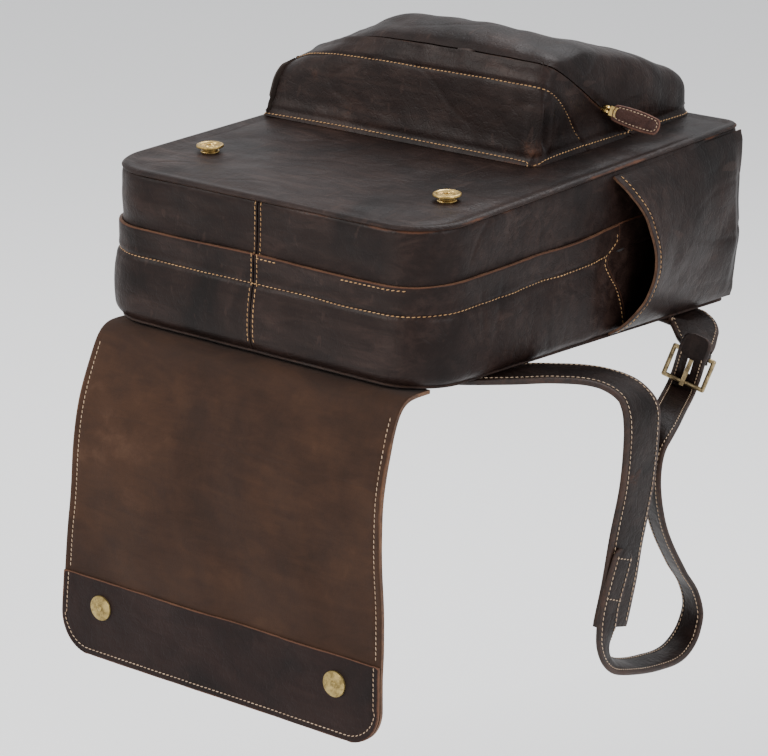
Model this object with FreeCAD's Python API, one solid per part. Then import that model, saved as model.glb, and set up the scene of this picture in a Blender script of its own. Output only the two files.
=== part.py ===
import FreeCAD, Part
import os
import math

# Leather backpack lying on its back, flap hanging open. Millimetres.
# +X to the wearer's left side, -Y the top end, +Y the bottom end, +Z from back to front.
# The origin is on the resting face of the back pad.

# overall sizes
bag_width = 280.0
bag_height = 350.0
depth_top = 102.0
depth_bottom = 126.0
pad_thickness = 6.0

# leather and cloth thicknesses
leather = 2.2
lining_cloth = 0.8
tape_cloth = 0.8
strap_leather = 4.0
narrow_leather = 3.5

# plan corners and seams
top_corner = 40.0
bottom_corner = 14.0
front_inset = 2.4
guard_height = 71.0
guard_slope = 0.06
guard_overlap = 0.8
stitch_drop = 19.0

# front pocket
pocket_left = -130.0
pocket_right = 96.0
pocket_top = -10.0
pocket_bottom = 172.0
pocket_cut_height = 69.0
pocket_cut_slope = -0.7
zip_slit = 1.3
pull_y_at = 64.0
pull_length = 40.0
pull_width = 14.0

# side pockets
mouth_y = 22.0
mouth_bulge = 24.0

# flap
flap_width = 262.0
flap_leather = 3.0
flap_hinge_y = -183.0
flap_hinge_z = 4.0
flap_lean = 10.6
upper_length = 114.0
lower_length = 112.0
band_height = 48.0
flap_gap = 2.2
snap_reach = 75.6
snap_spacing = 199.0
snap_y = -107.6

# back pad
pad_width = 230.0
pad_y0 = -88.0
pad_y1 = 158.0

# shoulder straps
wide_width = 38.0
narrow_width = 21.0
swing_x = 142.0
swing_z = 3.0
swing_gap = 2.4

half_width = bag_width / 2
top_y = -bag_height / 2
bottom_y = bag_height / 2
back_z = pad_thickness
front_slope = (depth_bottom - depth_top) / bag_height
front_z = back_z + depth_top

os.makedirs("parts", exist_ok=True)


def vec(x, y, z):
    return FreeCAD.Vector(x, y, z)


def save(name, shape):
    shape.exportStep("parts/" + name + ".step")


def group(shapes):
    return Part.makeCompound(shapes)


def box(x0, y0, z0, x1, y1, z1):
    return Part.makeBox(x1 - x0, y1 - y0, z1 - z0, vec(x0, y0, z0))


def rounded(x0, y0, x1, y1, near_r, far_r):
    """Rounded rectangle in plan, one radius for each end."""
    edges = []
    corners = [
        (x1 - near_r, y0 + near_r, near_r, -90),
        (x1 - far_r, y1 - far_r, far_r, 0),
        (x0 + far_r, y1 - far_r, far_r, 90),
        (x0 + near_r, y0 + near_r, near_r, 180),
    ]
    ends = []
    for cx, cy, r, a0 in corners:
        pts = []
        for a in (a0, a0 + 45, a0 + 90):
            c = math.cos(math.radians(a))
            s = math.sin(math.radians(a))
            pts.append(vec(cx + r * c, cy + r * s, 0))
        ends.append(pts)
    for i in range(4):
        a = ends[i]
        b = ends[(i + 1) % 4]
        edges.append(Part.Arc(a[0], a[1], a[2]).toShape())
        edges.append(Part.makeLine(a[2], b[0]))
    return Part.Face(Part.Wire(edges))


def outline(inset):
    """Plan outline of the bag, stepped inwards."""
    return rounded(
        -half_width + inset,
        top_y + inset,
        half_width - inset,
        bottom_y - inset,
        top_corner - inset,
        max(bottom_corner - inset, 3.0),
    )


def slab(z0, slope0, z1, slope1):
    """Everything between two planes that rise along Y from the bag's top end."""
    y0 = top_y - 100
    y1 = bottom_y + 100
    pts = [
        vec(-400, y0, z0 - 100 * slope0),
        vec(-400, y1, z0 + (y1 - top_y) * slope0),
        vec(-400, y1, z1 + (y1 - top_y) * slope1),
        vec(-400, y0, z1 - 100 * slope1),
    ]
    pts.append(pts[0])
    return Part.Face(Part.makePolygon(pts)).extrude(vec(800, 0, 0))


def filled(inset, z0, slope0, z1, slope1):
    """The bag's whole plan between two planes."""
    body = outline(inset).extrude(vec(0, 0, 300))
    return body.common(slab(z0, slope0, z1, slope1))


def wall(inset, thick, z0, slope0, z1, slope1):
    """A wall that follows the plan outline, between two planes."""
    outer = outline(inset).extrude(vec(0, 0, 300))
    inner = outline(inset + thick).extrude(vec(0, 0, 300))
    return outer.cut(inner).common(slab(z0, slope0, z1, slope1))


def mirrored(shape):
    return shape.mirror(vec(0, 0, 0), vec(1, 0, 0))


right_half = box(0, -400, -400, 400, 400, 400)
left_half = box(-400, -400, -400, 0, 400, 400)
bottom_zone = box(-(half_width - 22), bottom_y - 6, -50, half_width - 22, bottom_y + 50, 300)

# ---------------------------------------------------------------- main shell
back_panel = filled(0, back_z, 0, back_z + leather, 0)
save("back_panel", back_panel)

back_wall = wall(0, leather, back_z + leather, 0, guard_height, guard_slope)
back_wall = back_wall.cut(bottom_zone)
save("back_gusset_right", back_wall.common(right_half))
save("back_gusset_left", back_wall.common(left_half))

front_low = guard_height - guard_overlap
front_under = front_z - leather
front_wall = wall(front_inset, leather, front_low, guard_slope, front_under, front_slope)
front_wall = front_wall.cut(bottom_zone)
save("front_gusset_right", front_wall.common(right_half))
save("front_gusset_left", front_wall.common(left_half))

bottom_wall = wall(0, leather, back_z + leather, 0, front_under, front_slope)
save("bottom_panel", bottom_wall.common(bottom_zone))

save("front_panel", filled(0.4, front_under, front_slope, front_z, front_slope))

# ---------------------------------------------------------------- main zipper
zip_end = box(-400, top_y - 50, -50, 400, mouth_y + 30, 300)
tape_in = front_inset + leather
zip_mid = guard_height - 7.0
zip_gap = 0.7
low_stitch = guard_height - stitch_drop - 4
tape_back = wall(leather, tape_cloth, low_stitch, guard_slope, low_stitch + 8, guard_slope)
fold_deep = tape_in + tape_cloth - leather
fold = wall(leather, fold_deep, low_stitch + 8, guard_slope, low_stitch + 9, guard_slope)
tape_back_low = wall(tape_in, tape_cloth, low_stitch + 9, guard_slope, zip_mid - zip_gap, guard_slope)
tape_back = tape_back.fuse(fold).fuse(tape_back_low).removeSplitter().common(zip_end)
save("main_zip_tape_back", tape_back)
tape_front = wall(tape_in, tape_cloth, zip_mid + zip_gap, guard_slope, zip_mid + 14, guard_slope)
save("main_zip_tape_front", tape_front.common(zip_end))
coil_in = tape_in + tape_cloth
coil_back = wall(coil_in, 2.0, zip_mid - 3.2, guard_slope, zip_mid - zip_gap, guard_slope)
save("main_zip_coil_back", coil_back.common(zip_end))
coil_front = wall(coil_in, 2.0, zip_mid + zip_gap, guard_slope, zip_mid + 3.2, guard_slope)
save("main_zip_coil_front", coil_front.common(zip_end))

stop_y = mouth_y + 30
stops = []
for side in (-1, 1):
    x_in = half_width - coil_in - 2.0
    stop = box(x_in, stop_y, zip_mid - 3.0, x_in + 2.0, stop_y + 2.5, zip_mid + 3.0)
    stop.translate(vec(0, 0, guard_slope * (stop_y - top_y)))
    stops.append(stop if side > 0 else mirrored(stop))
save("main_zip_stops", group(stops))


def zip_slider(long, outer_face, tape_face, coil_face):
    """Slider along X at the origin, teeth line on Z=0, depth measured along +Y."""
    outer = box(-long / 2, outer_face, -4.8, long / 2, tape_face - 0.4, 4.8)
    inner = box(-long / 2, coil_face + 0.4, -4.2, long / 2, coil_face + 1.9, 4.2)
    web = box(-long / 2, tape_face - 0.5, -0.35, -long / 2 + 3, coil_face + 0.5, 0.35)
    return outer.fuse(inner).fuse(web).removeSplitter()


slider_x = 73.0
slider_z = zip_mid + guard_slope * (coil_in + 1)
main_slider = zip_slider(12.0, leather + 0.4, tape_in, coil_in + 2.0)
main_slider.translate(vec(slider_x, top_y, slider_z))
save("main_zip_slider", main_slider)
pull_y = top_y + leather + 0.5
main_pull = box(slider_x - 36, pull_y, slider_z - 3.5, slider_x - 6, pull_y + 1.2, slider_z + 3.5)
pull_hole = Part.makeCylinder(1.5, 10, vec(slider_x - 32, pull_y - 4, slider_z), vec(0, 1, 0))
save("main_zip_pull", main_pull.cut(pull_hole))

# ---------------------------------------------------------------- linings and stiffeners
foam_top = back_z + leather + 4.0
save("back_foam", filled(14, back_z + leather, 0, foam_top, 0))
lining_in = 10.0
low_out = filled(lining_in, foam_top, 0, zip_mid - 8, guard_slope)
low_in = filled(lining_in + lining_cloth, foam_top + lining_cloth, 0, 290, guard_slope)
save("lining_back", low_out.cut(low_in))
roof = front_under - 1.3
high_out = filled(lining_in, zip_mid + 8, guard_slope, roof, front_slope)
high_in = filled(lining_in + lining_cloth, -40, guard_slope, roof - lining_cloth, front_slope)
save("lining_front", high_out.cut(high_in))
board_y = bottom_y - lining_in + 0.2
stiffener = box(-118, board_y, 16, 118, board_y + 2.0, 100)
save("bottom_stiffener", stiffener)

# ---------------------------------------------------------------- back pad
pad_cover = box(-pad_width / 2, pad_y0, 0, pad_width / 2, pad_y1, pad_thickness)
pad_edges = [e for e in pad_cover.Edges if abs(e.BoundBox.ZLength - pad_thickness) < 1e-6]
pad_cover = pad_cover.makeFillet(18, pad_edges)
pad_core = box(-pad_width / 2 + 5, pad_y0 + 5, 1.4, pad_width / 2 - 5, pad_y1 - 5, pad_thickness)
save("back_pad_cover", pad_cover.cut(pad_core))
save("back_pad_foam", pad_core)

# ---------------------------------------------------------------- side pockets
side_low = back_z + 4.0


def side_section(y, bulge, inner):
    """One cross-section of a side pocket, the outer or the inner face."""
    top = front_z + front_slope * (y - top_y) - 5.0
    tall = top - side_low
    x0 = half_width + 0.2
    step = 0.0 if inner else 2.6
    trim = 3.2 if inner else 0.0
    pts = [vec(x0, y, side_low + trim)]
    for part, lift in ((0.1, 0.42), (0.25, 0.8), (0.45, 1.0), (0.7, 0.78), (0.9, 0.32)):
        z = side_low + trim + (tall - 2 * trim) * part
        pts.append(vec(x0 + step + bulge * lift, y, z))
    pts.append(vec(x0, y, top - trim))
    curve = Part.BSplineCurve()
    curve.interpolate(pts)
    return Part.Wire([curve.toShape(), Part.makeLine(pts[-1], pts[0])])


def mouth_bow(y):
    """Bulge of the side pocket along its length."""
    part = (y - mouth_y) / (bottom_y - 6 - mouth_y)
    return 3.0 + (mouth_bulge - 3.0) * (1 - part) ** 1.3


stations = [mouth_y, mouth_y + 30, mouth_y + 62, mouth_y + 100, bottom_y - 6]
outer = Part.makeLoft([side_section(y, mouth_bow(y), False) for y in stations], True, False)
inner_y = [mouth_y - 4, mouth_y + 30, mouth_y + 62, mouth_y + 100, bottom_y - 8.5]
inner = Part.makeLoft([side_section(y, mouth_bow(y), True) for y in inner_y], True, False)
side_pocket = outer.cut(inner)
save("side_pocket_right", side_pocket)
save("side_pocket_left", mirrored(side_pocket))

# ---------------------------------------------------------------- front pocket
pocket_profile = [
    (pocket_top, 1.0),
    (pocket_top + 3, 20.0),
    (pocket_top + 8, 52.0),
    (pocket_top + 18, 65.0),
    (pocket_top + 38, 71.0),
    (pocket_top + 60, 72.0),
    (pocket_top + 88, 63.0),
    (pocket_top + 122, 52.0),
    (pocket_top + 152, 38.0),
    (pocket_bottom, 25.0),
]


pocket_shape = [
    (0.0, 0.0),
    (0.012, 0.2),
    (0.05, 0.4),
    (0.14, 0.66),
    (0.26, 0.88),
    (0.4, 0.98),
    (0.6, 1.0),
    (0.8, 0.99),
    (0.93, 0.96),
    (0.985, 0.86),
    (1.0, 0.6),
    (1.0, 0.0),
]


def pocket_section(y, height, inset):
    """Cross-section of the pocket; its left side slumps lower than its right side."""
    base = front_z + front_slope * (y - top_y)
    x0 = pocket_left + inset
    x1 = pocket_right - inset
    h = max(height - inset, 0.6)
    pts = []
    for part, level in pocket_shape:
        pts.append(vec(x0 + (x1 - x0) * part, y, base + h * level))
    edges = []
    for i in range(len(pts) - 1):
        edges.append(Part.makeLine(pts[i], pts[i + 1]))
    edges.append(Part.makeLine(pts[-1], pts[0]))
    return Part.Wire(edges)


def pocket_solid(inset):
    sections = []
    for i, (y, height) in enumerate(pocket_profile):
        if i == 0:
            y = y + inset
        elif i < 4:
            y = y + inset * 0.9
        if i == len(pocket_profile) - 1:
            y = y - inset
        sections.append(pocket_section(y, height, inset))
    return Part.makeLoft(sections, True, True)


pocket_outer = pocket_solid(0.0)
pocket_inner = pocket_solid(leather)
pocket_shell = pocket_outer.cut(pocket_inner)
cut_base = front_z + front_slope * (0 - top_y) + pocket_cut_height
pocket_zip_slope = front_slope + pocket_cut_slope


def pocket_band(low, high):
    """Zone along the pocket's zip, measured up and down from the gusset's free edge."""
    shift = pocket_zip_slope * (0 - top_y)
    return slab(cut_base + low - shift, pocket_zip_slope, cut_base + high - shift, pocket_zip_slope)


save("pocket_gusset", pocket_shell.common(pocket_band(-200, -zip_slit)))
save("pocket_face", pocket_shell.common(pocket_band(zip_slit, 300)))

tape_deep = leather + 2.6
coil_deep = tape_deep + tape_cloth + 0.4
above_front = filled(0, front_z + 1.5, front_slope, 290, front_slope)


def zip_point(s, offset, inset):
    """Point of the stepped-in pocket surface beside the zip, s along the cross-section."""
    i = min(int(s), len(pocket_shape) - 2)
    part_a, level_a = pocket_shape[i]
    part_b, level_b = pocket_shape[i + 1]
    part = part_a + (part_b - part_a) * (s - i)
    level = level_a + (level_b - level_a) * (s - i)
    x = pocket_left + inset + (pocket_right - pocket_left - 2 * inset) * part
    low = pocket_top + inset
    high = 130.0
    for step in range(40):
        y = (low + high) / 2
        height = pocket_profile[-1][1]
        for (ya, ha), (yb, hb) in zip(pocket_profile, pocket_profile[1:]):
            ya = ya + inset * 0.9
            yb = yb + inset * 0.9
            if ya <= y <= yb:
                height = ha + (hb - ha) * (y - ya) / (yb - ya)
                break
        if (height - inset) * level > pocket_cut_height + offset + pocket_cut_slope * y:
            high = y
        else:
            low = y
    base = front_z + front_slope * (y - top_y)
    return vec(x, y, base + pocket_cut_height + offset + pocket_cut_slope * y)


def faceted(sections):
    """Solid through sections of one outline, all faces flat."""
    faces = []
    n = len(sections[0])

    def tri(a, b, c):
        faces.append(Part.Face(Part.makePolygon([a, b, c, a])))

    for a, b in zip(sections, sections[1:]):
        for i in range(n):
            j = (i + 1) % n
            tri(a[i], a[j], b[j])
            tri(a[i], b[j], b[i])
    for end in (sections[0], sections[-1]):
        for i in range(n // 2 - 1):
            tri(end[i], end[i + 1], end[n - 2 - i])
            tri(end[i], end[n - 2 - i], end[n - 1 - i])
    solid = Part.Solid(Part.Shell(faces))
    if solid.Volume < 0:
        solid.reverse()
    return solid


zip_stations = [2.6, 3.0, 3.5, 4.0, 4.5, 5.0, 6.0, 7.0, 8.0, 8.6, 9.0, 9.5, 10.0, 10.35, 10.7]


def zip_strip(offsets, deep, thick):
    sections = []
    for s in zip_stations:
        top = [zip_point(s, offset, deep) for offset in offsets]
        under = [zip_point(s, offset, deep + thick) for offset in reversed(offsets)]
        sections.append(top + under)
    return faceted(sections)


for name, side in (("lower", -1), ("upper", 1)):
    offsets = sorted((side * 0.9, side * 4.0, side * 13.0))
    save("pocket_zip_tape_" + name, zip_strip(offsets, tape_deep, tape_cloth))
    offsets = sorted((side * 0.9, side * 4.0))
    save("pocket_zip_coil_" + name, zip_strip(offsets, coil_deep, 2.0))

pocket_lining = pocket_solid(9.0).cut(pocket_solid(9.0 + lining_cloth))
pocket_lining = pocket_lining.common(pocket_band(18, 300)).common(above_front)
save("pocket_lining", pocket_lining)

# ---------------------------------------------------------------- snaps
def disc(x, y, z, r0, h0, r1, h1, bore, up):
    """Two-step snap disc with a centre hole; up is +1 or -1."""
    base = Part.makeCylinder(r0, h0, vec(0, 0, 0))
    cap = Part.makeCylinder(r1, h1, vec(0, 0, h0))
    hole = Part.makeCylinder(bore, h0 + h1 - 0.8, vec(0, 0, 0.8))
    shape = base.fuse(cap).removeSplitter().cut(hole)
    if up < 0:
        shape = shape.mirror(vec(0, 0, 0), vec(0, 0, 1))
    shape.translate(vec(x, y, z))
    return shape


tilt = math.degrees(math.atan(front_slope))
snap_z = front_z + front_slope * (snap_y - top_y)
snaps = []
washers = []
for side in (-1, 1):
    x = side * snap_spacing / 2
    stud = disc(x, snap_y, snap_z, 9.0, 3.0, 6.5, 2.6, 2.2, 1)
    stud.rotate(vec(x, snap_y, snap_z), vec(1, 0, 0), tilt)
    snaps.append(stud)
    washer = Part.makeCylinder(10, 1.0, vec(x, snap_y, snap_z - leather - 1.0))
    washer = washer.cut(Part.makeCylinder(3, 3.0, vec(x, snap_y, snap_z - leather - 2.0)))
    washer.rotate(vec(x, snap_y, snap_z), vec(1, 0, 0), tilt)
    washers.append(washer)
save("front_snaps", group(snaps))
save("front_snap_washers", group(washers))

# ---------------------------------------------------------------- flap
half_flap = flap_width / 2
lean = math.radians(flap_lean)
fold_y = flap_hinge_y - upper_length * math.sin(lean)
fold_z = flap_hinge_z - upper_length * math.cos(lean)


def flap_plate(y, z, angle, s0, s1, n0, n1, width0, width1, corner):
    """Flat piece hanging from a hinge: s runs down the flap, n towards the bag."""
    pts = [vec(-width0 / 2, 0, -s0), vec(width0 / 2, 0, -s0)]
    edges = [Part.makeLine(pts[0], pts[1])]
    if corner > 0:
        k = corner * (1 - math.sqrt(0.5))
        a = vec(width1 / 2, 0, -s1 + corner)
        b = vec(width1 / 2 - k, 0, -s1 + k)
        c = vec(width1 / 2 - corner, 0, -s1)
        d = vec(-width1 / 2 + corner, 0, -s1)
        e = vec(-width1 / 2 + k, 0, -s1 + k)
        f = vec(-width1 / 2, 0, -s1 + corner)
        edges.append(Part.makeLine(pts[1], a))
        edges.append(Part.Arc(a, b, c).toShape())
        edges.append(Part.makeLine(c, d))
        edges.append(Part.Arc(d, e, f).toShape())
        edges.append(Part.makeLine(f, pts[0]))
    else:
        low = [vec(width1 / 2, 0, -s1), vec(-width1 / 2, 0, -s1)]
        edges.append(Part.makeLine(pts[1], low[0]))
        edges.append(Part.makeLine(low[0], low[1]))
        edges.append(Part.makeLine(low[1], pts[0]))
    plate = Part.Face(Part.Wire(edges)).extrude(vec(0, n1 - n0, 0))
    plate.translate(vec(0, n0, 0))
    plate.rotate(vec(0, 0, 0), vec(1, 0, 0), -angle)
    plate.translate(vec(0, y, z))
    return plate


# n = -1.5 is the flap's inner face (towards the viewer while it hangs open)
skin = flap_leather / 2
root_width = flap_width - 8
flap_root = box(-root_width / 2, flap_hinge_y + flap_gap, 3.0, root_width / 2, -153, back_z)
save("flap_root", flap_root)
upper_end = upper_length - flap_gap
upper_args = (flap_hinge_y, flap_hinge_z, flap_lean, flap_gap, upper_end)
save("flap_upper_outer", flap_plate(*upper_args, 0.0, skin, root_width, flap_width, 0))
save("flap_upper_lining", flap_plate(*upper_args, -skin, 0.0, root_width - 4, flap_width - 4, 0))
lower_args = (fold_y, fold_z, 0.0, flap_gap, lower_length)
low_width = flap_width + 10
save("flap_lower_outer", flap_plate(*lower_args, 0.0, skin, flap_width, low_width, 26))
band_start = lower_length - band_height - 8
lining_args = (fold_y, fold_z, 0.0, flap_gap, band_start)
save("flap_lower_lining", flap_plate(*lining_args, -skin, 0.0, flap_width - 4, flap_width + 2, 0))
band_args = (fold_y, fold_z, 0.0, band_start, lower_length)
flap_band = flap_plate(*band_args, -skin - 0.8, 0.0, flap_width + 2, low_width, 26)
snap_discs = []
for side in (-1, 1):
    x = side * snap_spacing / 2
    base = vec(x, fold_y - skin - 0.8, fold_z - snap_reach)
    plate = Part.makeCylinder(8.5, 1.6, base, vec(0, -1, 0))
    plate = plate.cut(Part.makeCylinder(2.4, 5, base + vec(0, 2, 0), vec(0, -1, 0)))
    snap_discs.append(plate)
save("flap_band", flap_band)
save("flap_snaps", group(snap_discs))

# ---------------------------------------------------------------- strap helpers
def strap(path, thick):
    """Flat strap through stations of centre, width direction and width."""
    sections = []
    for i, (centre, across, width) in enumerate(path):
        here = vec(*centre)
        before = vec(*path[max(i - 1, 0)][0])
        after = vec(*path[min(i + 1, len(path) - 1)][0])
        along = (after - before).normalize()
        side = vec(*across)
        side = (side - along * side.dot(along)).normalize()
        out = along.cross(side).normalize()
        a = side * (width / 2)
        b = out * (thick / 2)
        pts = [here + a + b, here - a + b, here - a - b, here + a - b]
        pts.append(pts[0])
        sections.append(Part.makePolygon(pts))
    return Part.makeLoft(sections, True, True)


# ---------------------------------------------------------------- wide shoulder strap
wide_path = [
    ((45, -132, 3), (0, 1, 0), wide_width),
    ((58, -132, 3), (0, 1, 0), wide_width),
    ((66, -131, 3), (-0.06, 1, 0), wide_width),
    ((82, -126, 3), (-0.15, 0.99, 0), wide_width),
    ((110, -113, 3), (-0.5, 0.87, 0), wide_width),
    ((135, -88, 3), (-0.7, 0.71, 0), wide_width),
    ((155, -63, 3), (-0.65, 0.76, 0), wide_width),
    ((178, -43, 1), (-0.4, 0.92, 0), wide_width),
    ((194, -34, -6), (-0.2, 0.98, 0), wide_width),
    ((203, -31, -18), (0, 1, 0), wide_width),
    ((205, -31, -36), (0, 1, 0), wide_width),
    ((205, -33, -68), (0, 1, 0), wide_width),
    ((205, -41, -100), (0, 1, 0), wide_width),
    ((205, -47, -130), (0, 1, 0), wide_width),
    ((204.5, -54, -158), (0, 1, 0), wide_width),
]
wide = strap(wide_path, strap_leather)
inside = box(-400, -400, -400, swing_x - swing_gap, 400, 400)
outside = box(swing_x + swing_gap, -400, -400, 400, 400, 400)
strap_root = wide.common(inside)
strap_wide = wide.common(outside)

# ---------------------------------------------------------------- buckle
buckle_at = vec(160, 91, -23)
bu = vec(0.905, 0.302, -0.302).normalize()
bv = vec(-0.25, -0.2, -0.95)
bv = (bv - bu * bv.dot(bu)).normalize()
bn = bu.cross(bv) * -1.0
bar_r = 1.6
buckle_half_u = 14.4
buckle_half_v = 10.4
place = FreeCAD.Placement(
    FreeCAD.Matrix(
        bu.x, bv.x, -bn.x, buckle_at.x,
        bu.y, bv.y, -bn.y, buckle_at.y,
        bu.z, bv.z, -bn.z, buckle_at.z,
        0, 0, 0, 1,
    )
)


def placed(shape):
    shape = shape.copy()
    shape.Placement = place.multiply(shape.Placement)
    return shape


def local(u, v, n):
    """A point of the buckle's own frame: across, down the strap, towards the front."""
    return tuple(buckle_at + bu * u + bv * v + bn * n)


long_u = 2 * buckle_half_u
long_v = 2 * buckle_half_v
frame_bars = [
    Part.makeCylinder(bar_r, long_u, vec(-buckle_half_u, -buckle_half_v, 0), vec(1, 0, 0)),
    Part.makeCylinder(bar_r, long_u, vec(-buckle_half_u, buckle_half_v, 0), vec(1, 0, 0)),
    Part.makeCylinder(bar_r, long_v, vec(-buckle_half_u, -buckle_half_v, 0), vec(0, 1, 0)),
    Part.makeCylinder(bar_r, long_v, vec(buckle_half_u, -buckle_half_v, 0), vec(0, 1, 0)),
]
corners = []
for su in (-1, 1):
    for sv in (-1, 1):
        corners.append(Part.makeSphere(bar_r, vec(su * buckle_half_u, sv * buckle_half_v, 0)))
buckle = frame_bars[0]
for piece in frame_bars[1:] + corners:
    buckle = buckle.fuse(piece)
buckle = placed(buckle)

# the prong turns on the top bar; local -Z is towards the front
ring = Part.makeCylinder(2.95, 3.0, vec(-1.5, -buckle_half_v, 0), vec(1, 0, 0))
arm = box(-1.5, -buckle_half_v, -3.15, 1.5, buckle_half_v + 2.2, -1.95)
prong = ring.fuse(arm)
bore = Part.makeCylinder(bar_r + 0.05, 5.0, vec(-2.5, -buckle_half_v, 0), vec(1, 0, 0))
prong = placed(prong.cut(bore).removeSplitter())

# ---------------------------------------------------------------- buckle tab
loop_out = Part.makeCylinder(4.2, 22.0, vec(-11, -buckle_half_v, 0), vec(1, 0, 0))
loop_in = Part.makeCylinder(2.0, 24.0, vec(-12, -buckle_half_v, 0), vec(1, 0, 0))
notch = box(-2.4, -buckle_half_v - 6, -6, 2.4, buckle_half_v, 6)
tab_path = [
    ((139, 117, 3.2), (0, 1, 0), 44.0),
    ((144.5, 116, 1.6), (0, 1, 0), 43.0),
    ((150, 111, -2), (0.25, 0.97, 0), 36.0),
    ((157, 103, -7.5), (0.62, 0.75, -0.15), 28.0),
    (local(0, -buckle_half_v - 3.2, 0.0), tuple(bu), 22.0),
]
tab = strap(tab_path, 3.4).common(outside)
tab = tab.fuse(placed(loop_out)).cut(placed(loop_in)).cut(placed(notch)).removeSplitter()
tab_stub = box(119, 95, 2.0, swing_x - swing_gap, 139, back_z)

# ---------------------------------------------------------------- narrow strap
face = (-0.946, 0.3, 0.109)
narrow_path = [
    ((209, -49, -106), (0, 1, 0), 12.0),
    ((209, -51, -112), (0, 1, 0), narrow_width),
    ((209, -62, -140), (0, 1, 0), narrow_width),
    ((209.5, -65, -152), (0, 1, 0), narrow_width),
    ((209.5, -66, -161), (-0.12, 0.99, 0.02), narrow_width),
    ((206.5, -59, -175), (-0.5, 0.86, 0.05), narrow_width),
    ((202, -44, -187), (-0.8, 0.6, 0.09), narrow_width),
    ((199, -22, -196), face, narrow_width),
    ((196, 9, -203), face, narrow_width),
    ((193, 41, -206), face, narrow_width),
    ((190, 62, -199), face, narrow_width),
    ((188.5, 71, -184), face, narrow_width),
    ((187, 66, -167), face, narrow_width),
    ((186, 50, -148), face, narrow_width),
    ((185, 26, -113), (-0.93, 0.35, 0.1), narrow_width),
    ((184, 16, -80), (-0.92, 0.35, 0.15), narrow_width),
    ((181, 22, -58), (-0.9, 0.3, 0.25), narrow_width),
    ((175, 44, -44), tuple(bu * -1), narrow_width),
    (local(0, 17, -4.2), tuple(bu * -1), narrow_width),
    (local(0, 9, -3.9), tuple(bu * -1), narrow_width),
    (local(0, 0, 0.8), tuple(bu * -1), narrow_width),
    (local(0, -9, 6.6), tuple(bu * -1), narrow_width),
    (local(0, -18, 7.4), tuple(bu * -1), narrow_width),
    (local(0, -25, 7.2), tuple(bu * -1), narrow_width - 3),
]
narrow = strap(narrow_path, narrow_leather)
slot = box(-2.3, -12.0, -8, 2.3, 4.5, 8)
narrow = narrow.cut(placed(slot))

for name, shape in (
    ("strap_root", strap_root),
    ("strap_wide", strap_wide),
    ("strap_narrow", narrow),
    ("buckle_frame", buckle),
    ("buckle_prong", prong),
    ("buckle_tab", tab),
    ("buckle_tab_stub", tab_stub),
):
    save(name + "_right", shape)
    save(name + "_left", mirrored(shape))

patch = box(-66, -151, 0.1, 66, -113, 0.9)
anchor = box(-44.9, -151, 0.9, 44.9, -113, back_z)
save("strap_anchor_patch", patch.fuse(anchor).removeSplitter())

# ---------------------------------------------------------------- pocket slider and pull
run = vec(0, -1, -pocket_zip_slope).normalize()
depth = vec(-1, 0, 0)
across = run.cross(depth)
pull_at = vec(pocket_right, pull_y_at, cut_base + pocket_zip_slope * pull_y_at)
on_wall = FreeCAD.Placement(
    FreeCAD.Matrix(
        run.x, depth.x, across.x, pull_at.x,
        run.y, depth.y, across.y, pull_at.y,
        run.z, depth.z, across.z, pull_at.z,
        0, 0, 0, 1,
    )
)


def on_pocket(shape):
    shape = shape.copy()
    shape.Placement = on_wall.multiply(shape.Placement)
    return shape


link_out = -3.5
pocket_slider = zip_slider(10.0, tape_deep - 2.2, tape_deep, coil_deep + 2.0)
link = box(-1.5, link_out - 1.0, -0.6, 1.5, tape_deep - 2.1, 0.6)
pin = Part.makeCylinder(1.0, 5.0, vec(0, link_out, -2.5))
pocket_slider = pocket_slider.fuse(link).fuse(pin).removeSplitter()
save("pocket_zip_slider", on_pocket(pocket_slider))

clip = box(-1.2, link_out - 8, -3.4, 1.2, link_out - 2.3, 3.4)
for z in (-2.4, 0.9):
    clip = clip.fuse(Part.makeCylinder(2.6, 1.5, vec(0, link_out, z)))
clip = clip.cut(Part.makeCylinder(1.05, 6.0, vec(0, link_out, -3.0)))
middle = Part.makeCylinder(2.2, 1.8, vec(0, link_out, -0.9))
clip = clip.cut(middle).removeSplitter()
half_pull = pull_width / 2
tab_leather = box(-1.1, link_out - pull_length, -half_pull, 1.1, link_out - 8, half_pull)
ends = [e for e in tab_leather.Edges if abs(e.BoundBox.XLength - 2.2) < 1e-6]
ends = [e for e in ends if e.BoundBox.YMin < link_out - pull_length + 1]
tab_leather = tab_leather.makeFillet(4.0, ends)
for name, shape in (("pocket_zip_clip", clip), ("pocket_zip_tab", tab_leather)):
    shape.rotate(vec(0, link_out, 0), vec(0, 0, 1), -30)
    save(name, on_pocket(shape))
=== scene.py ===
import math
import bpy
import bmesh
import numpy as np
from mathutils import Matrix, Vector


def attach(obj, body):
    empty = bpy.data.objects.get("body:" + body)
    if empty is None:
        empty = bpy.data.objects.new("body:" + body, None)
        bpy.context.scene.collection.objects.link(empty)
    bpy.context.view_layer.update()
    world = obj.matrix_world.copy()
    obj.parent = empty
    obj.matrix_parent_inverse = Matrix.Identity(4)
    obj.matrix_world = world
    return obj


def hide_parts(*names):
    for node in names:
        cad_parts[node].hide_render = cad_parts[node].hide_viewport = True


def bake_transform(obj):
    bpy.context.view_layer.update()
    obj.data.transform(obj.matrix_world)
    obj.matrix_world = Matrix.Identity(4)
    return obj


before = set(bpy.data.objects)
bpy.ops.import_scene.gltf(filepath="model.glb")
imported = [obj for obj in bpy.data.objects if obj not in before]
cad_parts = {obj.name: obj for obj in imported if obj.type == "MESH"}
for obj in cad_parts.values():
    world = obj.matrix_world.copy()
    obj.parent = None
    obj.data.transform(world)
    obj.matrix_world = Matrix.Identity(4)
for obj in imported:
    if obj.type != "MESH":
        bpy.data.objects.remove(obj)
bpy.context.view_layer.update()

# Leather backpack on its back, flap hanging open. Shapes are worked out in millimetres.
mm = 0.001
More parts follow.
